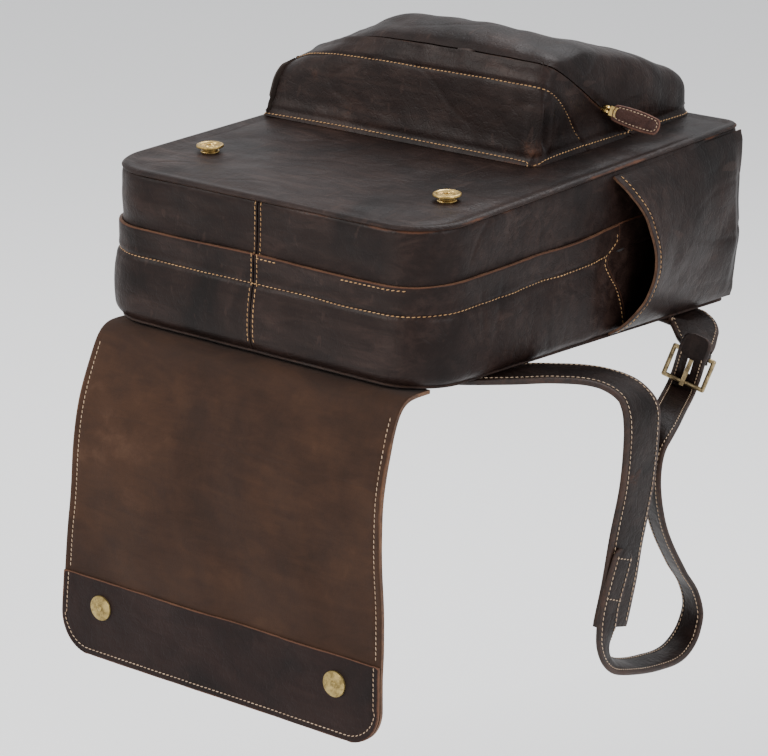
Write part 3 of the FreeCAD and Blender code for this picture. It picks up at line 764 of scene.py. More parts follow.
# The bag's plan outline
def outlineAt(s):
    # half outline from the middle of the top end, round the right side, to the bottom middle
    w, r1, r2 = bag["halfWidth"], bag["topCorner"], bag["bottomCorner"]
    y0, y1 = bag["topY"], bag["bottomY"]
    lengths = [w - r1, math.pi / 2 * r1, y1 - y0 - r1 - r2, math.pi / 2 * r2, w - r2]
    ends = np.concatenate([[0], np.cumsum(lengths)])
    s = np.asarray(s, float)
    x, y, nx, ny = (np.zeros_like(s) for value in range(4))
    k = s <= ends[1]
    x[k], y[k], ny[k] = s[k], y0, -1
    k = (s > ends[1]) & (s <= ends[2])
    t = (s - ends[1]) / r1
    x[k] = w - r1 + r1 * np.sin(t[k])
    y[k] = y0 + r1 - r1 * np.cos(t[k])
    nx[k], ny[k] = np.sin(t[k]), -np.cos(t[k])
    k = (s > ends[2]) & (s <= ends[3])
    x[k], y[k], nx[k] = w, y0 + r1 + (s[k] - ends[2]), 1
    k = (s > ends[3]) & (s <= ends[4])
    t = (s - ends[3]) / r2
    x[k] = w - r2 + r2 * np.cos(t[k])
    y[k] = y1 - r2 + r2 * np.sin(t[k])
    nx[k], ny[k] = np.cos(t[k]), np.sin(t[k])
    k = s > ends[4]
    x[k], y[k], ny[k] = w - r2 - (s[k] - ends[4]), y1, 1
    return x, y, nx, ny


# distances along the outline: where the straight side starts, and where the gussets end
outlineEnds = {"sideStart": 162.83, "gussetEnd": 488.8}


def guardZ(y):
    return bag["guardZ"] + bag["guardSlope"] * (y - bag["topY"])


def frontZ(y):
    return bag["frontZ"] + bag["frontSlope"] * (y - bag["topY"])


centreStitch = 2.3  # from the centre line to the row of stitches beside it


def centreSeam(s):
    # the edge at the centre line is turned in: a notch, a low ridge, and the dip of the stitches
    return -0.4 * np.exp(-(s / 0.5) ** 2) - 0.35 * bump(s, centreStitch, 0.8) + 0.5 * bump(s, 1.1, 0.6)
# Back gusset: the deep lower wall whose raw upper edge guards the zip
backGusset = {
    "lowZ": 6.4, "roll": 9.0, "nearSwell": 3.6, "sideSwell": 4.2, "cornerSwell": 0.8, "mostSwell": 4.8,
    "guardStand": 0.9, "rows": 56, "waveStart": 135.0, "waveMiddle": 157.0, "waveReach": 45.0,
    "seamEnd": 311.0, "seamGap": 3.0,
}


def backGussetAt(side):
    def at(s, t):
        x, y, nx, ny = outlineAt(s)
        top = guardZ(y)
        spot = np.stack([x * side, y, top * t], axis=-1)
        # the free edge wanders a little and lifts where the slider sits
        wander = swell(np.stack([x * side, y, x * 0], -1), 90, 11) * 0.7
        lift = 1.5 * bump(s, 44, 24) * (ny < -0.5) if side > 0 else 0.0
        low = backGusset["lowZ"]
        z = low + (top + wander - low) * t
        stitchZ = top - bag["stitchDrop"]
        inset = rolledIn(z - low, backGusset["roll"])
        part = np.clip((z - low) / (stitchZ - low), 0, 1)
        onFace = np.maximum(-ny, 0) ** 2
        onSide = nx ** 2 * (1 - smooth(y, -50, 14))
        corner = (nx * np.maximum(-ny, 0) * 2) ** 2
        tall = (backGusset["nearSwell"] * onFace + backGusset["sideSwell"] * onSide
                + backGusset["cornerSwell"] * corner)
        out = tall * np.sin(part * math.pi) ** 0.85 * (part < 1)
        out = out - 0.7 * smooth(y, 0, 14) * smooth(nx, 0.5, 1)
        strip = smooth(z, stitchZ, top)
        out = out + backGusset["guardStand"] * strip + lift * smooth(t, 0.82, 1.0)
        out = out - 0.75 * bump(z, stitchZ, 1.1)
        out = out + 0.35 * bump(z, stitchZ + 3.2, 2.2) + 0.35 * bump(z, stitchZ - 3.2, 2.2)
        # soft folds: long hollows on the near corner and the side
        out = out + swell(spot, 70, 3) * 0.75 * smooth(part, 0, 0.3) * (1 - 0.55 * strip)
        out = out + swell(spot * np.array([1, 1, 0.35]), 24, 5) * 0.28 * (1 - strip)
        folds = crease(spot * np.array([1, 1, 0.25]), 46, 8, 0.16)
        out = out - folds * 0.55 * (1 - strip) * smooth(part, 0.05, 0.35) * (onSide + 0.35 * corner)
        # the outer layer stops at a wavy sewn edge inside the side pocket
        out = out - 1.0 * smooth(s - waveS(t), -0.05, 0.5) * (s < 450)
        out = out + centreSeam(s)
        most = backGusset["mostSwell"]
        out = np.where(out > 0, most * np.tanh(out / most), out) - inset
        return np.stack([(x + nx * out) * side, y + ny * out, z], axis=-1)
    return at


def waveS(t):
    # the wavy edge of the outer layer, as distance along the outline by height
    y = curveThrough([(0, 44), (0.12, 42), (0.25, 39), (0.42, 32), (0.58, 21), (0.7, 16), (0.79, 21),
                      (0.86, 29), (0.93, 28), (1, 27)], t)
    return outlineEnds["sideStart"] + y + backGusset["waveStart"]


def wallWear(p, t, edges):
    # edges: height, breadth and strength of each rubbed line
    worn = np.zeros(t.shape)
    for at, width, much in edges:
        worn = np.maximum(worn, much * bump(t, at, width))
    return worn + 0.18 * np.maximum(swell(p, 60, 21), 0)


for side, name in ((1, "right"), (-1, "left")):
    at = backGussetAt(side)
    middle, reach = outlineEnds["sideStart"] + backGusset["waveMiddle"], backGusset["waveReach"]
    s = np.concatenate([np.linspace(0.05, 10, 26)[:-1], np.linspace(10, middle - 3, 190)[:-1],
                        np.linspace(middle - 3, middle + 3, 25),
                        np.linspace(middle + 3, outlineEnds["gussetEnd"], 90)[1:]])
    t = np.concatenate([np.linspace(0, 0.16, 12)[:-1], np.linspace(0.16, 1, backGusset["rows"])])
    u, v = np.meshgrid(s, t, indexing="ij")
    # columns lean so that one of them follows the wavy edge
    lean = smooth(u, middle - reach, middle - 3) * smooth(-u, -middle - reach, -middle - 3)
    u = u + (waveS(v) - middle) * lean
    p = at(u, v)
    worn = wallWear(p, v, [(1.0, 0.009, 1.1), (0.1, 0.05, 0.15)])
    worn = np.maximum(worn, 0.9 * bump(u - waveS(v), 0.0, 0.6))
    thick = bag["leather"] * (0.85 + 0.15 * smooth(v, 0.8, 1))
    piece = leatherSheet("back_gusset_skin_" + name, p, thick, coverLeather, wear=worn, flip=side < 0,
                         lowSlot=0)
    place(piece, "bag", "body_leather", "back_gusset_" + name)
    run = np.linspace(1.2, backGusset["seamEnd"], 240)
    y = outlineAt(run)[1]
    rowT = (guardZ(y) - bag["stitchDrop"] - backGusset["lowZ"]) / (guardZ(y) - backGusset["lowZ"])
    bagSeams.append(seamOn(at, run, rowT, flip=side < 0))
    column = np.linspace(0.03, 0.9, 50)
    bagSeams.append(seamOn(at, waveS(column) - backGusset["seamGap"], column, flip=side < 0))
    column = np.linspace(0.14, 0.985, 60)
    bagSeams.append(seamOn(at, np.full(60, centreStitch), column, flip=side < 0))
    if side > 0:
        # on the right the free edge is stitched too, but for the stretch that lifts over the slider
        for first, last, count in ((3, 17, 14), (73, 118, 40)):
            bagSeams.append(seamOn(at, np.linspace(first, last, count), np.full(count, 0.965), lift=0.05))
print("back gussets shaped")


# Front gusset: the upper wall, sewn inside out to the front panel
frontGusset = {
    "inset": 2.4, "tuck": 2.6, "roll": 4.0, "rows": 34, "columns": 300, "swell": 1.3, "underSeam": 0.9,
}


def frontGussetAt(side):
    def at(s, t):
        x, y, nx, ny = outlineAt(s)
        low = guardZ(y) - frontGusset["tuck"]
        high = frontZ(y) - frontGusset["underSeam"]
        z = low + (high - low) * t
        spot = np.stack([x * side, y, z], axis=-1)
        tuck = rolledIn(high - z, frontGusset["roll"])
        part = np.clip((z - guardZ(y)) / (high - guardZ(y)), 0, 1)
        out = frontGusset["swell"] * np.sin(part * math.pi) - frontGusset["inset"] - tuck
        out = out + 0.9 * smooth(part, 0.6, 0.9) + 0.5 * (1 - smooth(part, 0.0, 0.1))
        out = out + swell(spot, 60, 31) * 0.6 * smooth(part, 0.02, 0.3)
        out = out + swell(spot * np.array([1, 1, 0.4]), 22, 33) * 0.2 * smooth(part, 0.02, 0.3)
        onSide = smooth(nx, 0.3, 0.9) * (1 - smooth(y, -40, 20))
        folds = crease(spot * np.array([1, 1, 0.3]), 40, 37, 0.15)
        out = out - folds * 0.5 * smooth(part, 0.1, 0.4) * onSide
        out = out + centreSeam(s)
        return np.stack([(x + nx * out) * side, y + ny * out, z], axis=-1)
    return at


for side, name in ((1, "right"), (-1, "left")):
    at = frontGussetAt(side)
    s = np.concatenate([np.linspace(0.05, 10, 26)[:-1],
                        np.linspace(10, outlineEnds["gussetEnd"], frontGusset["columns"])])
    t = np.concatenate([np.linspace(0, 0.8, frontGusset["rows"])[:-1], np.linspace(0.8, 1, 14)])
    u, v = np.meshgrid(s, t, indexing="ij")
    p = at(u, v)
    worn = wallWear(p, v, [(0.95, 0.03, 0.45), (1.0, 0.03, 0.2)]) * (0.45 + 0.7 * swell(p, 40, 38))
    # thinned along the zip so that the slider has room
    thick = bag["leather"] * (0.45 + 0.45 * smooth(v, 0.0, 0.16))
    piece = leatherSheet("front_gusset_skin_" + name, p, thick, seamedLeather, wear=worn, flip=side < 0)
    place(piece, "bag", "body_leather", "front_gusset_" + name)
    column = np.linspace(0.07, 0.985, 44)
    bagSeams.append(seamOn(at, np.full(44, centreStitch), column, flip=side < 0))
print("front gussets shaped")


# Front, back and bottom panels
def ringAt(inset, counts=(34, 16, 76, 8, 34)):
    # one closed ring of the plan outline, the same number of points at every inset
    w = bag["halfWidth"] - inset
    y0, y1 = bag["topY"] + inset, bag["bottomY"] - inset
    r1 = max(bag["topCorner"] - inset, 0.0)
    r2 = max(bag["bottomCorner"] - inset, 0.0)
    parts = [np.linspace(0, 1, c, endpoint=False) for c in counts]
    xs = [(w - r1) * parts[0], w - r1 + r1 * np.sin(parts[1] * math.pi / 2), np.full(counts[2], w),
          w - r2 + r2 * np.cos(parts[3] * math.pi / 2), (w - r2) * (1 - parts[4])]
    ys = [np.full(counts[0], y0), y0 + r1 - r1 * np.cos(parts[1] * math.pi / 2),
          y0 + r1 + (y1 - y0 - r1 - r2) * parts[2], y1 - r2 + r2 * np.sin(parts[3] * math.pi / 2),
          np.full(counts[4], y1)]
    half = np.stack([np.concatenate(xs), np.concatenate(ys)], axis=1)
    other = half[::-1] * np.array([-1, 1])
    ring = np.concatenate([half, [[0, y1]], other[:-1]])
    return np.concatenate([ring, ring[:1]])


def panelGrid(insets):
    # rings one inside the other, and how far in each one lies
    rings = np.stack([ringAt(d) for d in insets], axis=1)
    depth = np.broadcast_to(np.array(insets), rings.shape[:2])
    return rings, depth


frontPanel = {
    "thick": 2.0, "roll": 3.4, "drop": 2.4, "bead": 0.7, "beadAt": 4.6, "valley": 1.0, "valleyAt": 10.5,
    "sag": 1.5, "dent": 1.6, "patchHalf": 21.5, "patchStand": 0.35,
}
pocketPlan = {"left": -130.0, "right": 96.0, "near": -10.0, "far": 172.0}


def calmNearPieces(x, y):
    # 0 under the pocket's foot and round the snaps, 1 elsewhere
    px = np.maximum(np.maximum(pocketPlan["left"] - x, x - pocketPlan["right"]), 0)
    py = np.maximum(np.maximum(pocketPlan["near"] - y, y - pocketPlan["far"]), 0)
    calm = smooth(np.hypot(px, py), 0, 22)
    for sx in snapSides:
        calm = calm * smooth(np.hypot(x - sx, y - snaps["y"]), 8.5, 26)
    return calm


def frontPanelHeight(x, y, d):
    # d: how far in from the seam
    z = frontZ(y)
    lip = rolledIn(d, frontPanel["roll"])
    calm = calmNearPieces(x, y)
    spot = np.stack([x, y, 0 * x], axis=-1)
    z = z - lip * frontPanel["drop"] / frontPanel["roll"] - 0.25 * smooth(-d, -3, 0)
    z = z + frontPanel["bead"] * bump(d, frontPanel["beadAt"], 3.2)
    uneven = 0.6 + 0.5 * swell(spot, 120, 44)
    valley = frontPanel["valley"] * bump(d, frontPanel["valleyAt"], 4.0)
    z = z - valley * np.clip(uneven, 0, 1.3) * (0.25 + 0.75 * calm)
    inner = smooth(d, 10, 28) * calm
    z = z + swell(spot, 85, 41) * frontPanel["sag"] * 0.6 * inner
    z = z + swell(spot, 30, 42) * 0.3 * smooth(d, 3, 12) * (0.2 + 0.8 * calm)
    z = z - crease(spot * np.array([0.5, 1, 1]), 55, 47, 0.12) * 0.45 * inner
    # a shallow dent on the way from the snaps to the pocket
    z = z - frontPanel["dent"] * bump(y, -52, 26) * bump(x, -10, 90) * inner
    # the reinforcement under each snap shows through as a faint edge: a square with its corners cut
    half = frontPanel["patchHalf"]
    for sx in snapSides:
        across, along = np.abs(x - sx), np.abs(y - snaps["y"])
        far = np.maximum(np.maximum(across, along), (across + along) * 0.76)
        z = z + frontPanel["patchStand"] * (1 - smooth(far, half, half + 1.5)) * smooth(d, 6, 14)
    return z


lastRing = 139.5  # the innermost ring, a slot half a millimetre from the middle
insets = np.concatenate([[0.4, 0.6, 0.9, 1.3, 1.8, 2.4, 3.1], np.linspace(4, 40, 25),
                         np.linspace(42, lastRing, 42)])
rings, depth = panelGrid(insets)
x, y = rings[..., 0], rings[..., 1]
p = np.stack([x, y, frontPanelHeight(x, y, depth)], axis=-1)
worn = 0.42 * bump(depth, 1.0, 1.0) + 0.16 * bump(depth, 4.6, 3) + 0.15 * np.maximum(swell(p, 70, 51), 0)
worn = worn * (0.45 + 0.8 * swell(p, 45, 52)) * (1 - 0.6 * smooth(y, 90, 130))
piece = leatherSheet("front_panel_skin", p, frontPanel["thick"], seamedLeather, wear=worn, closed=True)
place(piece, "bag", "body_leather", "front_panel")

backPanel = {"thick": 1.9, "lift": 0.15, "roll": 2.0, "inset": 2.0}
insets = np.concatenate([[2.5, 2.8, 3.4, 4.5, 6], np.linspace(9, lastRing, 40)])
rings, depth = panelGrid(insets)
x, y = rings[..., 0], rings[..., 1]
edge = rolledIn(depth - backPanel["inset"], backPanel["roll"])
z = bag["backZ"] + backPanel["lift"] + edge + 0.06 * swell(np.stack([x, y, edge], axis=-1), 40, 61)
piece = leatherSheet("back_panel_skin", np.stack([x, y, z], axis=-1), backPanel["thick"], seamedLeather,
                     closed=True, wear=0.3 * bump(depth, 0.5, 1.5), flip=True)
place(piece, "bag", "body_leather", "back_panel")
print("front and back panels shaped")


bottomPanel = {"half": 119.5, "seamX": 115.5, "thick": 2.1, "swell": 3.4}


def bottomAt(s, t):
    # s runs from right to left across the bottom end
    x = np.asarray(s, float)
    low = backGusset["lowZ"]
    y = np.full_like(x, bag["bottomY"])
    high = frontZ(y) - frontGusset["underSeam"]
    z = low + (high - low) * t
    spot = np.stack([x, y, z], axis=-1)
    roll = np.where(z - low < high - z, backGusset["roll"], frontGusset["roll"])
    inset = rolledIn(np.minimum(z - low, high - z), roll)
    full = np.sin(np.clip(t, 0, 1) * math.pi)
    out = bottomPanel["swell"] * full * (1 - smooth(np.abs(x), 60, 118))
    out = out + swell(spot, 60, 71) * 0.7 * full - 0.2
    return np.stack([x, y + out - inset, z], axis=-1)


half = bottomPanel["half"]
u, v = np.meshgrid(np.linspace(half, -half, 140), np.linspace(0, 1, 52), indexing="ij")
p = bottomAt(u, v)
worn = 0.5 * bump(v, 1, 0.03) + 0.2 * bump(v, 0.06, 0.04) + 0.7 * smooth(np.abs(u), half - 0.9, half)
piece = leatherSheet("bottom_panel_skin", p, bottomPanel["thick"], seamedLeather, wear=worn, lowSlot=0)
place(piece, "bag", "body_leather", "bottom_panel")
for x in (-bottomPanel["seamX"], bottomPanel["seamX"]):
    bagSeams.append(seamOn(bottomAt, np.full(50, x), np.linspace(0.06, 0.96, 50)))
print("bottom panel shaped")


# Back pad: leather over foam, sewn in channels
backPad = {
    "halfWidth": 115.0, "near": -88.0, "far": 158.0, "corner": 18.0, "crown": 4.6, "channels": (-38.0, 38.0),
    "channelDeep": 2.4, "seamDeep": 1.6, "topZ": 5.0, "lowZ": 0.25, "thick": 0.9, "around": 220, "fill": 0.45,
}


def padSkin(values):
    w, y0, y1, r = values["halfWidth"], values["near"], values["far"], values["corner"]
    insets = np.concatenate([[0, 0.3, 0.8, 1.5, 2.5, 4, 6], np.linspace(9, w - 0.5, 44)])
    rings = []
    for d in insets:
        a, b, k = w - d, max((y1 - y0) / 2 - d, 0), max(r - d, 0)
        t = np.linspace(0, 2 * math.pi, values["around"] + 1)
        # rounded box by angle, squarer towards the middle
        cx, cy = np.cos(t), np.sin(t)
        bend = 2.0 + 10.0 * (1 - k / r) + 4
        size = (np.abs(cx) ** bend + np.abs(cy) ** bend) ** (-1 / bend)
        rings.append(np.stack([a * cx * size, (y0 + y1) / 2 + b * cy * size], axis=1))
    rings = np.stack(rings, axis=1)
    depth = np.broadcast_to(insets, rings.shape[:2])
    x, y = rings[..., 0], rings[..., 1]
    full = domed(depth, 9)
    drop = values["crown"] * full + 0.25 * swell(np.stack([x, y, full], axis=-1), 50, 81) * full
    for c in values["channels"]:
        drop = drop - values["channelDeep"] * bump(x, c, 2.6) * full
    drop = drop - values["seamDeep"] * bump(depth, 5.5, 1.4)
    z = values["topZ"] - np.clip(drop, 0, values["topZ"])
    return np.stack([x, y, np.maximum(z, values["lowZ"])], axis=-1), depth


p, depth = padSkin(backPad)
piece = leatherSheet("back_pad_skin", p, backPad["thick"], coverLeather, wear=0.3 * bump(depth, 0, 2),
                     closed=True, flip=True)
place(piece, "bag", "body_leather", "back_pad_cover", "back_pad_foam")
print("back pad shaped")


# Side pockets
sidePocket = {
    "mouthY": 22.0, "lean": 15.0, "endY": 172.0, "bulge": 24.0, "slack": 3.0, "room": 2.6, "seat": 140.6,
    "lowZ": 8.6, "underFront": 4.6, "hem": 8.2, "hemStand": 0.9, "thick": 1.5, "hemThick": 0.4,
    # how far the mouth stands out, from the back edge to the front edge
    "lift": [(0, 0), (0.05, 0.24), (0.1, 0.44), (0.25, 0.82), (0.45, 1.0), (0.7, 0.78), (0.9, 0.33), (1, 0)],
}


def sidePocketAt(side):
    def at(u, v):
        # u: 0 at the mouth to 1 at the bottom end, v: 0 at the back edge to 1 at the front edge
        lift = curveThrough(sidePocket["lift"], v)
        start = sidePocket["mouthY"] + sidePocket["lean"] * lift ** 1.4 - 4.0 * smooth(v, 0.75, 1)
        y = start + (sidePocket["endY"] - start) * u
        part = np.clip((y - sidePocket["mouthY"]) / 147, 0, 1)
        slack = sidePocket["slack"]
        bow = sidePocket["room"] + slack + (sidePocket["bulge"] - slack) * (1 - part) ** 1.3
        bow = bow * (1 - 0.85 * smooth(u, 0.9, 1.0))
        low = sidePocket["lowZ"] + 1.0 * part
        top = frontZ(y) - sidePocket["underFront"]
        z = low + (top - low) * v
        x = sidePocket["seat"] + bow * lift - 1.6 * smooth(v, 0.94, 1.0) - 1.2 * (1 - smooth(v, 0, 0.05))
        spot = np.stack([x * side, y, z], axis=-1)
        away = np.sin(np.clip(v, 0, 1) * math.pi)
        x = x + swell(spot, 60, 91) * 0.9 * away * smooth(u, 0.05, 0.3)
        x = x + swell(spot * np.array([1, 0.6, 1]), 24, 92) * 0.25 * away
        x = x - 1.2 * crease(spot * np.array([1, 0.5, 1]), 60, 95, 0.1) * away * smooth(u, 0.3, 0.7) * 0.5
        # turned hem: two layers, sewn down
        edge, hem = y - start, sidePocket["hem"]
        x = x + sidePocket["hemStand"] * (1 - smooth(edge, hem, hem + 0.6)) - 0.45 * bump(edge, 5.6, 0.9)
        return np.stack([x * side, y, z], axis=-1)
    return at


for side, name in ((1, "right"), (-1, "left")):
    at = sidePocketAt(side)
    u, v = np.meshgrid(np.concatenate([np.linspace(0, 0.085, 26)[:-1], np.linspace(0.085, 1, 80)]),
                       np.linspace(0, 1, 70), indexing="ij")
    p = at(u, v)
    worn = 0.5 * bump(u, 0, 0.003) + 0.3 * bump(u, 0.058, 0.004) + 0.3 * bump(v, 1, 0.015)
    worn = worn + 0.15 * np.maximum(swell(p, 60, 96), 0)
    thick = sidePocket["thick"] + sidePocket["hemThick"] * (1 - smooth(u, 0.05, 0.06))
    piece = leatherSheet("side_pocket_skin_" + name, p, thick, coverLeather, wear=worn, flip=side < 0)
    place(piece, "bag", "body_leather", "side_pocket_" + name)
    line = np.linspace(0.02, 0.98, 90)
    bagSeams.append(seamOn(at, np.full(90, 0.04), line, flip=side < 0, lift=0.1))
print("side pockets shaped")


# Front pocket: one stretched shape, cut along the zip into gusset and face
pocketShape = {
    "left": -135.5, "right": 96.0, "cutZ": 189.0, "cutSlope": -0.6314, "slit": 1.3, "cornerRound": 9.0,
    "farRound": 14.0, "leather": 2.2, "rows": 230, "crisp": 50, "wide": 226.0, "tall": 70.0,
    # seen from the side: place along the bag and height above the front panel
    "side": [(-10, 0.0), (-9.2, 8), (-7, 20), (-4.5, 36), (-2, 50), (2, 59), (8, 65), (17, 69), (28, 71),
             (50, 72), (78, 64), (112, 53), (142, 41), (160, 33.5), (168, 29), (171.4, 20), (172.6, 10),
             (172.4, 0.0)],
    # seen from the end: shares of the width and of the height
    "across": [(0.0, 0.0), (-0.022, 0.08), (-0.042, 0.2), (-0.046, 0.32), (-0.03, 0.44), (0.01, 0.54),
               (0.08, 0.66), (0.17, 0.79), (0.28, 0.92), (0.4, 0.98), (0.6, 1.0), (0.8, 0.99),
               (0.92, 0.965), (0.972, 0.9), (0.992, 0.78), (1.0, 0.6), (1.0, 0.3), (1.0, 0.0)],
    # height of the upper seam above the panel; it dives to the foot on the right wall
    "upperSeam": [(-40, 60), (-9, 53.6), (10, 43), (28, 26), (46, 2), (70, -30)],
}
wide, tallest = pocketShape["wide"], pocketShape["tall"]
sideRoute = routeThrough([(y, h, 0) for y, h in pocketShape["side"]], 900)
acrossRoute = routeThrough([(a * wide, b * tallest, 0) for a, b in pocketShape["across"]], 900)


def pocketBase(u, v):
    # u runs from the near foot over the top to the far foot, v from the left foot to the right foot
    even = np.linspace(0, 1, len(sideRoute))
    y = np.interp(u, even, sideRoute[:, 0])
    h = np.interp(u, even, sideRoute[:, 1])
    part = np.interp(v, even, acrossRoute[:, 0]) / wide
    level = np.interp(v, even, acrossRoute[:, 1]) / tallest
    width = pocketShape["right"] - pocketShape["left"]
    x = pocketShape["left"] + width * np.maximum(part, 0)
    tall = h * level
    # rounded upright corner at the near right, softer at the far end
    r = pocketShape["cornerRound"]
    reach = np.clip(y - pocketPlan["near"], 0, r)
    x = x - (r - np.sqrt(r * r - (r - reach) ** 2)) * 0.8 * smooth(part, 0.82, 1.0)
    r = pocketShape["farRound"]
    reach = np.clip(pocketPlan["far"] - y, 0, r)
    bend = smooth(part, 0.85, 1) - (1 - smooth(part, 0, 0.12))
    x = x - (r - np.sqrt(r * r - (r - reach) ** 2)) * 0.5 * bend
    return np.stack([x, y, frontZ(y) + tall], axis=-1), part, tall


def pocketAt(u, v):
    p, part, tall = pocketBase(u, v)
    step = 0.006
    du = pocketBase(np.clip(u + step, 0, 1), v)[0] - pocketBase(np.clip(u - step, 0, 1), v)[0]
    dv = pocketBase(u, np.clip(v + step, 0, 1))[0] - pocketBase(u, np.clip(v - step, 0, 1))[0]
    n = unit(np.cross(dv, du))
    x, y = p[..., 0], p[..., 1]
    free = smooth(tall, 2, 16)
    out = swell(p, 80, 101) * 1.3 * free + swell(p, 32, 102) * 0.4 * free - 0.9 * free
    out = out - crease(p * np.array([0.55, 1, 1]), 60, 105, 0.12) * 0.35 * smooth(tall, 8, 30)
    # the seam at the foot, a small flange sewn to the panel
    out = out + 1.6 * bump(tall, 0, 2.2) - 0.7 * bump(tall, 5.5, 2.2)
    # pinched fold standing on the near right corner
    rightWall = smooth(part, 0.95, 1.0)
    fold = smooth(tall, 3, 14) * (1 - smooth(tall, 24, 46))
    out = out + (1.6 * bump(y, 6.5, 3.0) - 3.4 * bump(y, 1.5, 2.4)) * rightWall * fold
    out = out + 1.3 * bump(x, 84, 5) * (1 - smooth(y, -2, 6)) * fold
    # guard band: a second layer above the upper seam
    over = aboveSeam(p)
    out = out + 0.7 * smooth(over, 0.5, 3) - 0.7 * bump(over, 0, 1.2)
    # the lips of the zip: the lower one stands out, the upper one tucks in
    below = belowCut(p)
    out = out + 1.6 * smooth(-below, -7, 0) * (below > -0.4) - 1.4 * (below < -0.4) * smooth(below, -9, -0.4)
    return p + n * out[..., None]


def aboveSeam(p):
    return p[..., 2] - frontZ(p[..., 1]) - curveThrough(pocketShape["upperSeam"], p[..., 1])


def belowCut(p):
    return pocketShape["cutZ"] + pocketShape["cutSlope"] * p[..., 1] - p[..., 2]


def cutSkin(name, p, keepAbove):
    # the pocket surface on one side of the zip, given its thickness
    rows, cols = p.shape[:2]
    index = np.arange(rows * cols).reshape(rows, cols)
    quads = np.stack([index[:-1, :-1], index[1:, :-1], index[1:, 1:], index[:-1, 1:]], axis=-1).reshape(-1, 4)
    shape = bmesh.new()
    wearLayer = shape.verts.layers.float.new("wear")
    worn = 0.3 * bump(belowCut(p), pocketShape["slit"], 0.9) + 0.15 * bump(aboveSeam(p), 0, 2)
    worn = worn + 0.25 * bump(p[..., 2] - frontZ(p[..., 1]), 0, 1.2) + 0.2 * np.maximum(swell(p, 55, 111), 0)
    made = []
    for spot, value in zip((p * mm).reshape(-1, 3), worn.ravel()):
        vertex = shape.verts.new(spot)
        vertex[wearLayer] = value
        made.append(vertex)
    for q in quads:
        shape.faces.new([made[i] for i in q[::-1]])
    bmesh.ops.remove_doubles(shape, verts=shape.verts, dist=making["weld"] * mm)
    slit = pocketShape["slit"] * (1 if keepAbove else -1)
    spot = Vector((0, 0, pocketShape["cutZ"] + slit)) * mm
    way = Vector((0, -pocketShape["cutSlope"], 1)).normalized()
    everything = shape.verts[:] + shape.edges[:] + shape.faces[:]
    bmesh.ops.bisect_plane(shape, geom=everything, plane_co=spot, plane_no=way,
                           clear_outer=not keepAbove, clear_inner=keepAbove)
    # slivers left by the cut
    bmesh.ops.remove_doubles(shape, verts=shape.verts, dist=0.05 * mm)
    slivers = [f for f in shape.faces if f.calc_area() < 1e-12]
    bmesh.ops.delete(shape, geom=slivers, context="FACES")
    mesh = bpy.data.meshes.new(name)
    shape.to_mesh(mesh)
    shape.free()
    for material in seamedLeather:
        mesh.materials.append(material)
    holder = inScene(name, mesh)
    solid = holder.modifiers.new("thickness", "SOLIDIFY")
    solid.thickness = pocketShape["leather"] * mm
    solid.offset = -1
    solid.material_offset = 1
    solid.material_offset_rim = 2
    done = plainMesh(holder, name + "Skin")
    done.polygons.foreach_set("use_smooth", [True] * len(done.polygons))
    done.set_sharp_from_angle(angle=math.radians(pocketShape["crisp"]))
    bpy.data.objects.remove(holder)
    return inScene(name, done)


even = np.linspace(0, 1, pocketShape["rows"])
p = pocketAt(*np.meshgrid(even, even, indexing="ij"))
place(cutSkin("pocket_gusset_skin", p, False), "bag", "body_leather", "pocket_gusset")
place(cutSkin("pocket_face_skin", p, True), "bag", "body_leather", "pocket_face")


def seamLine(v):
    # for each v, the u on the near wall where the surface crosses the upper seam
    low = np.zeros_like(v)
    high = np.full_like(v, 0.62)
    for halving in range(30):
        mid = (low + high) / 2
        over = aboveSeam(pocketAt(mid, v)) > 0
        high = np.where(over, mid, high)
        low = np.where(over, low, mid)
    return (low + high) / 2


v = np.linspace(0.05, 0.975, 220)
footLine, sideLine = np.linspace(0.03, 0.985, 220), np.linspace(0.03, 0.97, 160)
for u, v in ((seamLine(v), v), (np.full(220, 0.011), footLine), (sideLine, np.full(160, 0.9905)),
             (sideLine, np.full(160, 0.0095))):
    bagSeams.append(seamOn(pocketAt, u, v, flip=True, lift=0.1))
print("front pocket shaped")


# Flap: one long piece of leather, made in two lengths
flap = {
    "widths": (254.0, 255.0, 263.0, 273.0), "widthsAt": (0, 0.2, 0.6, 1.0), "corner": 27.0, "thick": 2.8,
    "splitZ": -52.0, "bandTop": -164.5, "bandThick": 1.5, "bandLap": 0.4, "bandShare": 0.9975, "twist": 3.0,
    "hem": 4.6, "seamGap": 1.6, "wearHalf": 131.0, "bevel": 0.3,
    # seen from the side, from the root under the bag to the hanging end
    "line": [(-153, 4.6), (-160, 4.6), (-168, 4.4), (-175, 3.2), (-181, 0.0), (-186, -6.0), (-189.8, -14.0),
             (-193.2, -24.0), (-197, -38.0), (-200.3, -56.0), (-202.5, -78.0), (-203.6, -100.0),
             (-204.2, -120.0), (-204.6, -145.0), (-204.4, -165.0), (-204.2, -190.0), (-204.0, -220.0)],
}
flapRoute = routeThrough([(y, z, 0) for y, z in flap["line"]], 600)
flapRun = runAlong(flapRoute[:, :2])
flapLength = flapRun[-1]


def flapRunAt(z):
    return float(flapRun[np.argmin(np.abs(flapRoute[:, 1] - z))])


def flapHalf(v):
    return np.interp(v / flapLength, flap["widthsAt"], np.array(flap["widths"]) / 2)


def cornerLoss(v):
    # how much the rounded lower corners take off the half width
    r = flap["corner"]
    rise = np.clip(v - (flapLength - r), 0, r)
    return r - np.sqrt(np.maximum(r * r - rise * rise, 0))


splitRun = flapRunAt(flap["splitZ"])
bandRun = flapRunAt(flap["bandTop"])
bandLength = flapLength - flap["bandLap"] - bandRun


